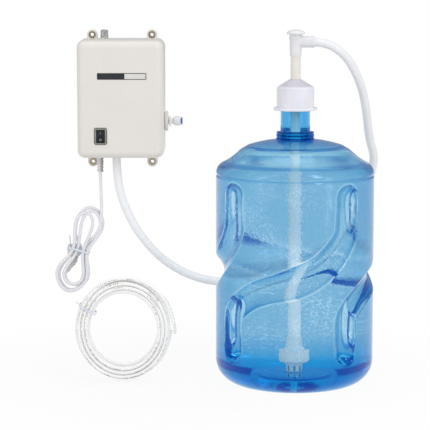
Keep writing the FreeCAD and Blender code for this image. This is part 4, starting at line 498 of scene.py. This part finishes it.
def bottle_material(name, ior):
    """Blue clear plastic, deeper at the foot and neck and pebbled on the body."""
    material, tree, bsdf, at = new_material(name)
    _, y, z = axes(tree, at)

    def band(start, done, low=0.0, high=1.0):
        """A share that changes between two heights on the bottle."""
        return spread(tree, z, FLOOR_Z + start, FLOOR_Z + done, low, high)

    def mark(attribute):
        return node(tree, "ShaderNodeAttribute", attribute_name=attribute).outputs["Fac"]

    upper = band(*UPPER_HALF)
    pebble = node(tree, "ShaderNodeTexVoronoi", {"Vector": at, "Scale": 420.0}, feature="SMOOTH_F1")
    pebbles = maths(tree, "ADD", times(tree, pebble.outputs["Distance"], 0.5),
                    times(tree, noise(tree, at, 55.0, 3.0), 0.8))
    strength = times(tree, maths(tree, "MULTIPLY_ADD", upper, 0.5, 0.12), band(*SHOULDER, 0.2))
    relief(tree, bsdf, pebbles, 0.0005, strength)
    cloudy = times(tree, spread(tree, noise(tree, at, 18.0), 0.35, 0.7, 0.3, 1.0),
                   maths(tree, "MULTIPLY_ADD", upper, 0.09, 0.02))
    # Paler at the front and deeper at the back: painted light, so that what lies inside reads brighter
    # through the front wall
    behind = spread(tree, y, BOTTLE.y - BODY_R, BOTTLE.y + BODY_R)
    pale = mixed(tree, behind, rgba((0.465, 0.69, 0.845)), rgba((0.33, 0.595, 0.775)))
    full = mixed(tree, behind, rgba((0.485, 0.71, 0.86)), rgba((0.345, 0.615, 0.79)))
    base = mixed(tree, drift(tree, at, 9.0), pale, full)
    drops = times(tree, spread(tree, noise(tree, at, 280.0, 1.0, 0.6), 0.53, 0.59),
                  spread(tree, noise(tree, at, 14.0, 2.0), 0.42, 0.6, 0.2, 1.0))
    base = mixed(tree, times(tree, drops, band(*SHOULDER)), base, rgba((0.68, 0.84, 0.94)))
    base = mixed(tree, band(*DOME), base, rgba((0.68, 0.87, 0.94)))
    edge = node(tree, "ShaderNodeLayerWeight", {"Blend": 0.5}).outputs["Facing"]
    base = mixed(tree, spread(tree, edge, 0.1, 0.6), base, rgba((0.52, 0.78, 0.89)), "MULTIPLY")
    foot, crown, ring = band(*FOOT), band(*CROWN), times(tree, band(*RING), band(*NECK[::-1]))
    # Pale and dark stripes round the neck ring: painted highlights and painted shade on its rings
    ring_light_and_shade = times(tree, minus(tree, z, FLOOR_Z + RING_STRIPE), 2 * math.pi / STRIPE_PITCH)
    ring_light_and_shade = mixed(tree, spread(tree, maths(tree, "COSINE", ring_light_and_shade), -0.5, 0.6),
                   rgba((0.001, 0.06, 0.28)), rgba((0.03, 0.42, 0.82)))
    # The deep marks lay painted shade lines and the clear marks painted highlights over the tint
    for share, colour in ((foot, rgba((0.005, 0.40, 0.75))), (crown, rgba((0.20, 0.50, 0.74))),
                          (ring, ring_light_and_shade), (band(*NECK), rgba((0.27, 0.62, 0.86))),
                          (mark("deep"), rgba((0.05, 0.42, 0.78))),
                          (mark("clear"), rgba((0.86, 0.95, 0.99)))):
        base = mixed(tree, share, base, colour)
    # The outside carries most of the tint, the inside the rest
    gamma = spread(tree, mark("inner"), 0.0, 1.0, 1.6, 0.4)
    base = node(tree, "ShaderNodeGamma", {"Color": base, "Gamma": gamma}).outputs[0]
    strong = larger(tree, foot, larger(tree, ring, times(tree, crown, 0.6)))
    shine = mixed(tree, strong, rgba((0.55, 0.78, 1.0)), rgba((0.03, 0.3, 0.7)))
    linked(tree, bsdf, {"Base Color": base, "Roughness": cloudy, "Specular Tint": shine})
    even(bsdf, {"Transmission Weight": 1.0, "IOR": ior})
    let_light_in(tree, bsdf, (0.965, 0.985, 0.995))
    return material


def water_material():
    """Clear water with a faint ripple."""
    material, tree, bsdf, at = new_material("clear_water")
    ripple = noise(tree, at, 40.0, 2.0)
    relief(tree, bsdf, ripple, 0.0002, 0.3)
    tint = mixed(tree, spread(tree, ripple, 0.3, 0.7), rgba((0.97, 0.99, 1.0)), rgba((0.99, 1.0, 1.0)))
    linked(tree, bsdf, {"Base Color": tint})
    even(bsdf, {"Roughness": 0.0, "Transmission Weight": 1.0, "IOR": 1.33})
    let_light_in(tree, bsdf, (0.99, 1.0, 1.0))
    return material


bottle = make_bottle(bottle_material("blue_clear_plastic", 1.5), bottle_material("blue_wet_plastic", 1.128))
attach(bottle, ROOT)
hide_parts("bottle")
water = make_water(water_material())
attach(water, ROOT)


# Cords

def nurbs(name, points, radius, material, resolution):
    """A round cord along a smooth line, from the first point to the last."""
    curve = bpy.data.curves.new(name, "CURVE")
    curve.dimensions = "3D"
    spline = curve.splines.new("NURBS")
    spline.points.add(len(points) - 1)
    for point, place in zip(spline.points, points):
        point.co = (*place, 1.0)
    spline.order_u = 3
    spline.use_endpoint_u = True
    spline.resolution_u = resolution
    curve.bevel_depth = radius
    curve.bevel_resolution = 6
    curve.use_fill_caps = True
    curve.materials.append(material)
    obj = bpy.data.objects.new(name, curve)
    scene.collection.objects.link(obj)
    return obj


def meshed(obj):
    """The mesh that an object shows."""
    bpy.context.view_layer.update()
    return bpy.data.meshes.new_from_object(obj.evaluated_get(bpy.context.evaluated_depsgraph_get()))


def centre_line(curve_obj):
    """The points of a curve's own line, and its length."""
    bare = curve_obj.copy()
    bare.data = curve_obj.data.copy()
    bare.data.bevel_depth = 0
    scene.collection.objects.link(bare)
    mesh = meshed(bare)
    points = [v.co.copy() for v in mesh.vertices]
    bpy.data.objects.remove(bare)
    bpy.data.meshes.remove(mesh)
    return points, sum((b - a).length for a, b in zip(points, points[1:]))


HOSE_R = 0.00735
hose_points = [(x * MM, y * MM, z * MM) for x, y, z in (
    (-9.2, -50.0, -77.0), (-9.2, -50.0, -120.9), (-3.5, -50.0, -165.0), (13.8, -46.2, -209.9),
    (35.5, -41.0, -246.7), (73.6, -32.6, -289.4), (126.8, -21.0, -320.9), (190.1, -11.7, -333.0),
    (246.4, -9.6, -319.5), (300.2, -9.6, -290.3), (350.0, -10.0, -248.0), (396.8, -12.0, -204.9),
    (433.7, -21.6, -160.3), (447.3, -51.6, -103.5), (433.9, -75.4, -68.0), (426.3, -106.8, -17.9),
    (419.9, -123.5, 12.7), (409.6, -140.8, 43.2), (391.3, -153.0, 76.6), (370.3, -157.8, 95.9),
    (345.7, -160.0, 106.4), (318.9, -160.0, 106.4))]
# Whiter near the case and greyer further along x: painted light on the drop under the case, painted shade
# on the rest
hose_painted_light_and_shade = two_tone("hose_vinyl", 0, 0.01, 0.07, (0.94, 0.943, 0.955), (0.835, 0.838, 0.86), 0.006,
                      grain=0.000002)
hose_curve = nurbs("hose_line", hose_points, HOSE_R, hose_painted_light_and_shade, 10)
hose_line, hose_length = centre_line(hose_curve)
hose_mesh = meshed(hose_curve)
bpy.data.objects.remove(hose_curve)
hose_mesh.polygons.foreach_set("use_smooth", [True] * len(hose_mesh.polygons))
hose = bpy.data.objects.new("suction_hose_body", hose_mesh)
scene.collection.objects.link(hose)
cover(hose, hose_painted_light_and_shade)
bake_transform(hose)
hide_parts("suction_hose")


# Power cord: the free stretch, then the hank's folds. Its radius is in metres, the rest in millimetres.

CORD_R = 0.0029
CORD_TOP, CORD_LOW = (-38.0, -50.0, -90.0), (-38.0, -50.0, -136.0)
HANK = (-76.0, -51.0, -266.0)
HANK_TILT = math.radians(16.0)
# A fold's reach above and below its waist, its half widths, and its ends' height in half widths
TOP_H, LOW_H, TOP_W, LOW_W, WAIST_W, ROUND = 76.0, 78.0, 26.0, 28.5, 15.0, 1.15
# How far a fold lies inside the next one out, and how far apart the layers are
HANK_STEP, HANK_LAYER = 7.2, 6.6
# Places in one fold, the place where the cord climbs to the back layer, and the last place
PLACES, CLIMB, LAST = 8, 13, 25
# The cord's lean and length on its way into the first fold
ENTRY_DEG, ENTRY_L = 5.0, 34.0
# Where the cord turns back, then the plug's sleeve: its place, depth, lean and how far the cord goes in
TURN_UV, SLEEVE_UV, PLUG_Y, SLEEVE_TILT, SLEEVE_IN = (3.9, -66.48), (-11.7, -44.9), -34.5, 30.0, 2


def hank_place(u, v, y):
    """A place across and along the leaning hank, at a depth."""
    return np.array([HANK[0] + u * math.cos(HANK_TILT) + v * math.sin(HANK_TILT), y,
                     HANK[2] - u * math.sin(HANK_TILT) + v * math.cos(HANK_TILT)])


def facing(deg):
    """The direction that leans from straight up by an angle."""
    return np.array([math.sin(math.radians(deg)), 0.0, math.cos(math.radians(deg))])


def hank_outline(inset):
    """A fold's eight places and directions, drawn in by an inset."""
    top, low, waist = TOP_W - inset, LOW_W - inset, WAIST_W - inset
    tip, toe = TOP_H - inset, -LOW_H + inset
    shoulder, hip = tip - ROUND * top, toe + ROUND * low
    return [(top, shoulder, 0, -1), (waist, 0, 0, -1), (low, hip, 0, -1), (0, toe, -1, 0),
            (-low, hip, 0, 1), (-waist, 0, 0, 1), (-top, shoulder, 0, 1), (0, tip, 1, 0)]


# How far a place of the folds lies off the even figure: across, along and forward
FAN = {3: (-1.0, -1.5, 0), 4: (-4.0, 1.0, 0), 6: (0.5, 1.5, 0), 7: (-4.0, -1.0, 0), 8: (-7.5, 0, 0),
       11: (1.0, 5.0, 0), 12: (1.5, 1.5, 0), 14: (6.0, 4.0, -5.9), 15: (5.0, 8.5, -5.9),
       16: (8.0, 2.0, -5.9), 18: (4.0, 0, 0), 19: (2.0, -3.5, 0), 20: (-2.0, -1.0, 0),
       22: (3.5, 3.0, 0), 23: (2.0, 6.5, 0), 24: (5.0, 4.0, 0)}


def hank_places():
    """The folds' places with their directions, from the entry to the plug's sleeve."""
    front, back = HANK[1] - HANK_LAYER / 2, HANK[1] + HANK_LAYER / 2
    places = []
    for k in range(LAST + 1):
        inset = min(k, 2 * CLIMB - k) * HANK_STEP / PLACES
        u, v, du, dv = hank_outline(inset)[k % PLACES]
        shift = FAN.get(k, (0, 0, 0))
        u, v = u + shift[0], v + shift[1]
        y = (HANK[1] if k == CLIMB else (front if k < CLIMB else back)) + shift[2]
        p = hank_place(u, v, y)
        t = hank_place(u + du, v + dv, y) - p
        if k == 0:
            t = -facing(ENTRY_DEG)
        if k == CLIMB:
            t[1] = HANK_LAYER / TOP_H
        places.append((p, t / np.linalg.norm(t)))
    down = hank_place(0, -1, 0) - hank_place(0, 0, 0)
    down[1] = HANK_LAYER / LOW_H
    u, v = hank_outline(0)[2][:2]
    places.append((hank_place(u, v, back + HANK_LAYER), down / np.linalg.norm(down)))
    across = hank_place(-1, 0, 0) - hank_place(0, 0, 0)
    places.append((hank_place(*TURN_UV, PLUG_Y), across))
    sleeve = hank_place(*SLEEVE_UV, PLUG_Y)
    up = facing(SLEEVE_TILT)
    return places + [(sleeve - up * 2 * CORD_R / MM, up), (sleeve + up * SLEEVE_IN, up)]


hank = hank_places()
entry = tuple(hank[0][0] + facing(ENTRY_DEG) * ENTRY_L)
cord_points = [CORD_TOP, CORD_LOW, entry] + [tuple(p) for p in through(hank, 3)]
cord_points = [tuple(c * MM for c in p) for p in cord_points]
cord_white = surface("cord_vinyl", (0.82, 0.82, 0.85), rough=0.3, vary=0.008, scale=80, grain=0.000004,
                     coat=0.3, uneven=0.02)
power_cord = nurbs("power_cord_line", cord_points, CORD_R, cord_white, 6)
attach(power_cord, ROOT)
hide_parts("power_cord", "power_cord_hank")
centre_line(power_cord)[1]


# Coil of tubing. Its radius TUBE_R is in metres, the rest in millimetres, turns and degrees.

TUBE_R = 0.003175
COIL = (7.0, -160.0, -386.4)
# The outer turn's radius, its width to its height, the turns' pitch and count, the layers and the start
COIL_R, SQUEEZE, PITCH, TURNS, LAYERS, START = 90.5, 0.91, 7.3, 3.25, 4, -3.5
LAYER_GAP = 0.75
LAYER_STEP = 2 * TUBE_R / MM + LAYER_GAP
DEPTH = (LAYERS - 1) * LAYER_STEP
QUARTERS = round(4 * TURNS)
# The free end stands out by this much, over this many points
END_OUT, END_POINTS = 8.5, 9
# The line of ticks on the tubing: its half height and its shift, in turns, and the depth it ends at
TICK_HALF, TICK_SHIFT, TICK_Y = 0.11, 0.48, COIL[1] - DEPTH / 2 - 1.2


def coil_spot(k):
    """The radius and depth after a number of quarter turns."""
    layer, into = divmod(k, QUARTERS)
    inward = into if layer % 2 == 0 else QUARTERS - into
    depth = layer - 0.5 if into == 0 and 0 < layer < LAYERS else layer
    return COIL_R - inward * PITCH / 4, COIL[1] - DEPTH / 2 + min(depth, LAYERS - 1) * LAYER_STEP


def coil_points():
    """Sixteen points a turn. Between quarter turns the radius goes evenly and the depth is eased."""
    last = QUARTERS * LAYERS
    out = []
    for n in range(4 * last + 1):
        k, part = divmod(n, 4)
        (r0, y0), (r1, y1) = coil_spot(k), coil_spot(min(k + 1, last))
        s = part / 4
        r = r0 + (r1 - r0) * s + END_OUT * max(0.0, 1 - n / END_POINTS) ** 2
        y = y0 + (y1 - y0) * s * s * (3 - 2 * s)
        angle = math.radians(START + 90 * (k + s))
        out.append((COIL[0] + SQUEEZE * r * math.cos(angle), y, COIL[2] + r * math.sin(angle)))
    return [tuple(c * MM for c in p) for p in out]


def tube_material():
    """Milky tubing with plain dark ticks along the front of its outer layer."""
    material, tree, bsdf, at = new_material("tube_poly")
    x, y, z = axes(tree, at)
    across = maths(tree, "DIVIDE", minus(tree, x, COIL[0] * MM), SQUEEZE)
    high = minus(tree, z, COIL[2] * MM)
    angle = maths(tree, "ARCTAN2", high, across)
    inward = minus(tree, COIL_R * MM, distance(tree, across, high))
    turn = maths(tree, "ADD", maths(tree, "DIVIDE", inward, PITCH * MM),
                 maths(tree, "DIVIDE", angle, -2 * math.pi))
    turn = maths(tree, "ADD", turn, TICK_SHIFT)
    line = below(tree, apart(tree, maths(tree, "FRACT", turn), 0.5), TICK_HALF)
    along = node(tree, "ShaderNodeCombineXYZ", {0: times(tree, angle, 9.0),
                                                1: maths(tree, "FLOOR", turn)}).outputs[0]
    ticks = times(tree, line, below(tree, y, TICK_Y * MM))
    for scale in (5.5, 0.22):
        ticks = times(tree, ticks, above(tree, noise(tree, along, scale, 1.0), 0.5))
    milk = mottle(tree, at, 50.0, (0.95, 0.945, 0.935), (0.97, 0.965, 0.955))
    inked = mixed(tree, times(tree, ticks, 0.65), milk, rgba((0.05, 0.05, 0.055)))
    linked(tree, bsdf, {"Base Color": inked, "Roughness": drift(tree, at, 150.0, 0.2, 0.3)})
    even(bsdf, {"Coat Weight": 0.3, "Subsurface Weight": 0.2, "Subsurface Radius": (1.0, 0.95, 0.92),
                "Subsurface Scale": 0.003})
    soften_shadow(tree, bsdf, (0.8, 0.79, 0.77))
    return material


tube_milky = tube_material()
coil_line = coil_points()
coil = nurbs("tubing_coil_line", coil_line, TUBE_R, tube_milky, 4)
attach(coil, ROOT)
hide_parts("tubing_coil")
centre_line(coil)[1]


# Finishes of the solids

# The name plate's field: its middle, half sizes and the left edge of its light part
PLATE, PLATE_HALF, PLATE_LEFT = (0.0031, 0.0443), (0.0413, 0.0045), 0.0080
# The switch: its middle, the half sizes of its well and frame, and the depth that its frame ends at
SWITCH, WELL_HALF, FRAME_HALF, FRAME_Y = (-0.0341, -0.0595), (0.0078, 0.0116), (0.0104, 0.0139), -0.1
# The rocker's marks: the bar's height and half sizes, the circle's height and radius, and their depth
BAR_Z, BAR_HALF, CIRCLE_Z, CIRCLE_R, ROCKER_Y = -0.0540, (0.00035, 0.0017), -0.0655, 0.0017, -0.09
# Where the cap's cone turns grey with painted shade, where the wand leaves the open, and where the wand's
# whiter middle of painted light begins and ends
CONE_SHADE, OPEN_END, LIT_MIDDLE_TOP, LIT_MIDDLE_LOW = (0.0300, 0.0325), (0.02, 0.0), (-0.20, -0.25), (-0.38, -0.40)


def beyond(tree, x, z, middle, half):
    """How far a place lies outside a rectangle, less than nothing inside it."""
    return larger(tree, minus(tree, apart(tree, x, middle[0]), half[0]),
                  minus(tree, apart(tree, z, middle[1]), half[1]))


def plate_material():
    """Dark on its left, light on its right with a dark outline, without lettering."""
    material, tree, bsdf, at = new_material("printed_plate")
    x, _, z = axes(tree, at)
    light = times(tree, below(tree, beyond(tree, x, z, PLATE, PLATE_HALF), 0.0), above(tree, x, PLATE_LEFT))
    dark = mottle(tree, at, 120.0, (0.012, 0.012, 0.016), (0.03, 0.03, 0.036))
    pale = mottle(tree, at, 120.0, (0.70, 0.68, 0.65), (0.76, 0.74, 0.71))
    linked(tree, bsdf, {"Base Color": mixed(tree, light, dark, pale),
                        "Roughness": drift(tree, at, 300.0, 0.3, 0.42)})
    return material


def switch_material():
    """A grey frame round a black well."""
    material, tree, bsdf, at = new_material("switch_moulding")
    x, y, z = axes(tree, at)
    ring = times(tree, above(tree, beyond(tree, x, z, SWITCH, WELL_HALF), 0.0),
                 below(tree, beyond(tree, x, z, SWITCH, FRAME_HALF), 0.0))
    mask = times(tree, ring, below(tree, y, FRAME_Y))
    black = mottle(tree, at, 200.0, (0.012, 0.014, 0.016), (0.03, 0.032, 0.036))
    grey = mottle(tree, at, 200.0, (0.25, 0.24, 0.21), (0.33, 0.32, 0.28))
    linked(tree, bsdf, {"Base Color": mixed(tree, mask, black, grey),
                        "Roughness": drift(tree, at, 500.0, 0.28, 0.45)})
    return material


def rocker_material():
    """Black, with a pale I above and O below."""
    material, tree, bsdf, at = new_material("rocker_moulding")
    x, y, z = axes(tree, at)
    bar = below(tree, beyond(tree, x, z, (SWITCH[0], BAR_Z), BAR_HALF), 0.0)
    far = distance(tree, minus(tree, x, SWITCH[0]), minus(tree, z, CIRCLE_Z))
    circle = below(tree, apart(tree, far, CIRCLE_R), BAR_HALF[0])
    marks = times(tree, larger(tree, bar, circle), below(tree, y, ROCKER_Y))
    black = mottle(tree, at, 200.0, (0.008, 0.010, 0.012), (0.016, 0.02, 0.024))
    linked(tree, bsdf, {"Base Color": mixed(tree, marks, black, rgba((0.32, 0.32, 0.32))),
                        "Roughness": drift(tree, at, 500.0, 0.22, 0.34)})
    return material


def cap_material():
    """Lavender white, greyer with painted shade on the thin cone round the wand."""
    material, tree, bsdf, at = new_material("cap_moulding")
    cone = spread(tree, axes(tree, at)[2], *CONE_SHADE)
    white = mottle(tree, at, 40.0, (0.77, 0.77, 0.83), (0.83, 0.83, 0.88))
    grey = mottle(tree, at, 40.0, (0.58, 0.57, 0.65), (0.64, 0.63, 0.71))
    linked(tree, bsdf, {"Base Color": mixed(tree, cone, white, grey),
                        "Roughness": drift(tree, at, 90.0, 0.3, 0.42)})
    relief(tree, bsdf, noise(tree, at, 500.0, 2.0), 0.00003, 0.5)
    even(bsdf, {"Subsurface Weight": 0.2, "Subsurface Scale": 0.004})
    return material


def wand_material():
    """Milky tube, ivory in the open and bluish grey inside the bottle, but for a whiter middle of painted
    light.
    """
    material, tree, bsdf, at = new_material("ivory_tube")
    z = axes(tree, at)[2]
    ivory = mottle(tree, at, 40.0, *around(srgb("E9E5DC"), 0.02))
    milk = mottle(tree, at, 40.0, (0.92, 0.94, 0.95), (0.96, 0.97, 0.98))
    bluish_grey = mottle(tree, at, 40.0, (0.70, 0.77, 0.81), (0.75, 0.82, 0.86))
    # Whiter between these heights: painted light on the wand's middle inside the bottle
    milk = mixed(tree, spread(tree, z, *LIT_MIDDLE_TOP), bluish_grey, milk)
    milk = mixed(tree, spread(tree, z, *LIT_MIDDLE_LOW), milk, bluish_grey)
    linked(tree, bsdf, {"Base Color": mixed(tree, spread(tree, z, *OPEN_END), ivory, milk),
                        "Roughness": drift(tree, at, 120.0, 0.2, 0.32)})
    relief(tree, bsdf, noise(tree, at, 700.0, 2.0), 0.00002, 0.5)
    even(bsdf, {"Coat Weight": 0.3, "Subsurface Weight": 0.15, "Subsurface Scale": 0.003})
    return material


case_plastic = surface("case_moulding", srgb("E6E1DA"), rough=0.38, vary=0.015, scale=14, grain=0.00003,
                       grain_scale=1400, coat=0.1)
black_rubber = surface("black_rubber", (0.03, 0.03, 0.032), rough=0.6, vary=0.15, scale=90, grain=0.00006)
dark_moulding = surface("dark_moulding", (0.02, 0.02, 0.024), rough=0.5, vary=0.2, scale=70, grain=0.00005)
bronze = surface("worn_bronze", (0.46, 0.38, 0.26), rough=0.34, metal=1.0, vary=0.2, scale=160,
                 grain=0.00003, wear=0.4)
chrome = surface("plated_metal", (0.62, 0.6, 0.58), rough=0.2, metal=1.0, vary=0.1, scale=120,
                 grain=0.00001, wear=0.2)
steel = surface("brushed_steel", (0.5, 0.5, 0.52), rough=0.32, metal=1.0, vary=0.12, scale=80,
                grain=0.00002, wear=0.2)
copper = surface("enamelled_copper", (0.7, 0.3, 0.12), rough=0.35, metal=1.0, vary=0.15, scale=200,
                 grain=0.00008, grain_scale=1800)
dark_iron = surface("sintered_magnet", (0.06, 0.06, 0.065), rough=0.6, vary=0.2, scale=90, grain=0.00008)
white_plastic = surface("white_moulding", (0.82, 0.82, 0.83), rough=0.25, vary=0.02, scale=50, coat=0.3,
                        sss=0.1, sss_radius=0.003)
flange_plastic = surface("flange_moulding", srgb("E2DED5"), rough=0.35, vary=0.02, scale=60, coat=0.1)
blue_plastic = surface("blue_moulding", srgb("3F6DC5"), rough=0.3, vary=0.06, scale=90, coat=0.2)
board_green = surface("lacquered_board", (0.02, 0.12, 0.05), rough=0.3, vary=0.1, scale=120)
yellow_tape = surface("tape_and_plastic", (0.55, 0.4, 0.06), rough=0.45, vary=0.15, scale=80)
red_wire = surface("wire_jacket", (0.45, 0.03, 0.02), rough=0.4, vary=0.15, scale=200)
brass = surface("turned_brass", (0.7, 0.52, 0.25), rough=0.3, metal=1.0, vary=0.1, scale=150)
tie_white = surface("wire_tie", srgb("DDE4EE"), rough=0.4, vary=0.04, scale=120)
foot_white = surface("valve_moulding", (0.76, 0.80, 0.83), rough=0.35, vary=0.03, scale=60, sss=0.1)
tee_grey = surface("tee_moulding", srgb("E4E4E7"), rough=0.25, vary=0.03, scale=60, coat=0.3, sss=0.1,
                   sss_radius=0.003)

# Where the strain relief and the plug change colour, along x and along z
# The strain relief is white on its left and brown-grey on its right: painted shade on its right side
relief_painted_shade = two_tone("relief_moulding", 0, -0.0385, -0.0345, srgb("E6E3E6"), srgb("A79C92"), 0.08)
plug_white = two_tone("plug_vinyl", 2, -0.277, -0.282, srgb("E6E4E8"), srgb("D6D2D2"))

finishes = {
    case_plastic: ["back_shell", "front_cover"],
    flange_plastic: ["outlet_flange", "outlet_lock_nut", "hose_gland"],
    black_rubber: ["case_seals", "outlet_oring", "diaphragm", "rubber_mounts", "cap_gasket", "foot_seal",
                   "poppet"],
    dark_moulding: ["reset_button", "reset_body", "motor_end_bell", "drive_housing",
                    "valve_plate", "pump_cover", "pressure_switch", "brushes"],
    bronze: ["ear_eyelets"],
    chrome: ["reset_barrel", "bearings", "plug_blades"],
    steel: ["motor_can", "eccentric_shaft", "armature_core", "screws", "motor_band", "pump_bracket",
            "poppet_spring"],
    copper: ["windings_and_commutator"],
    dark_iron: ["motor_magnets"],
    white_plastic: ["outlet_fitting", "wobble_plate", "delivery_tube", "knob"],
    blue_plastic: ["outlet_collet"],
    relief_painted_shade: ["strain_relief"],
    board_green: ["power_board"],
    yellow_tape: ["board_parts"],
    red_wire: ["wiring"],
    brass: ["pressure_plunger"],
    plug_white: ["plug"],
    tie_white: ["hank_tie", "coil_tie"],
    wand_material(): ["wand_tube", "foot_adapter"],
    foot_white: ["foot_barrel", "foot_strainer"],
    tee_grey: ["tee"],
    plate_material(): ["name_plate"],
    switch_material(): ["switch_housing"],
    cap_material(): ["cap"],
    rocker_material(): ["rocker"],
}
for material, names in finishes.items():
    for name in names:
        cover(nodes[name], material)


# Floor, light and camera

# Half the floor's side, how far it lies below the object, and the middle of its shadow
FLOOR_HALF, FLOOR_SUNK, SHADOW = 6, 0.0002, (0.16, -0.1, FLOOR_Z)
# The glow's share within a distance of that middle, and past another
GLOW_NEAR, GLOW_FAR = (0.22, 0.86), (0.6, 1.0)
# What the lamps face, and the camera's place, its dip in degrees and its lens in millimetres
MIDDLE = (0.15, -0.1, -0.15)
CAMERA, CAMERA_DIP, LENS, SENSOR = (0.1644, -3.4309, 0.248), 7.61, 161.4, 36.0


def floor_material():
    """White, and brighter to the camera, so that it keeps only a soft shadow."""
    material, tree, bsdf, at = new_material("studio_floor")
    path = node(tree, "ShaderNodeLightPath")
    seen = larger(tree, path.outputs["Is Camera Ray"],
                  larger(tree, path.outputs["Is Glossy Ray"], path.outputs["Is Transmission Ray"]))
    grey = mixed(tree, path.outputs["Is Diffuse Ray"], rgba((0.82, 0.82, 0.82)), rgba((0.74, 0.74, 0.74)))
    linked(tree, bsdf, {"Base Color": grey})
    even(bsdf, {"Roughness": 0.9})
    glow = node(tree, "ShaderNodeEmission", {"Color": (1, 1, 1, 1), "Strength": 1.0})
    far = node(tree, "ShaderNodeVectorMath", {0: at, 1: SHADOW}, operation="DISTANCE").outputs["Value"]
    share = spread(tree, far, GLOW_NEAR[0], GLOW_FAR[0], GLOW_NEAR[1], GLOW_FAR[1])
    blended(tree, times(tree, seen, share), bsdf, glow)
    return material


floor_corners = [(x * FLOOR_HALF, y * FLOOR_HALF, FLOOR_Z - FLOOR_SUNK)
                 for x, y in ((-1, -1), (1, -1), (1, 1), (-1, 1))]
floor = mesh_object("studio_floor", floor_corners, [(0, 1, 2, 3)], floor_material(), smooth=False)

world = bpy.data.worlds.new("studio")
scene.world = world
world.use_nodes = True
tree = world.node_tree
path = node(tree, "ShaderNodeLightPath")
seen = larger(tree, path.outputs["Is Camera Ray"], path.outputs["Is Transmission Ray"])
room = mixed(tree, path.outputs["Is Glossy Ray"], (0.83, 0.83, 0.84, 1), (0.34, 0.37, 0.41, 1))
linked(tree, tree.nodes["Background"], {"Color": mixed(tree, seen, room, (1, 1, 1, 1))})
even(tree.nodes["Background"], {"Strength": 1.0})


def area_light(name, place, target, size, power):
    """A lamp of a width and height, facing its target."""
    data = bpy.data.lights.new(name, "AREA")
    data.shape = "RECTANGLE"
    data.size, data.size_y = size
    data.energy = power
    lamp = bpy.data.objects.new(name, data)
    lamp.location = place
    lamp.rotation_euler = (Vector(target) - Vector(place)).to_track_quat("-Z", "Y").to_euler()
    scene.collection.objects.link(lamp)


area_light("key", (1.5, -2.0, 1.5), MIDDLE, (0.35, 1.5), 14)
area_light("fill", (-1.9, -1.9, 0.5), MIDDLE, (0.25, 1.8), 6)
area_light("side", (2.0, -1.75, 0.1), (0.3, -0.16, -0.2), (0.2, 1.5), 3.5)
area_light("top", (0.2, -0.3, 2.0), MIDDLE, (1.6, 1.0), 4.5)

camera_data = bpy.data.cameras.new("camera")
camera_data.lens = LENS
camera_data.sensor_width = SENSOR
camera = bpy.data.objects.new("camera", camera_data)
camera.location = CAMERA
camera.rotation_euler = (math.radians(90 - CAMERA_DIP), 0, 0)
scene.collection.objects.link(camera)
scene.camera = camera

scene.view_settings.view_transform = "Standard"
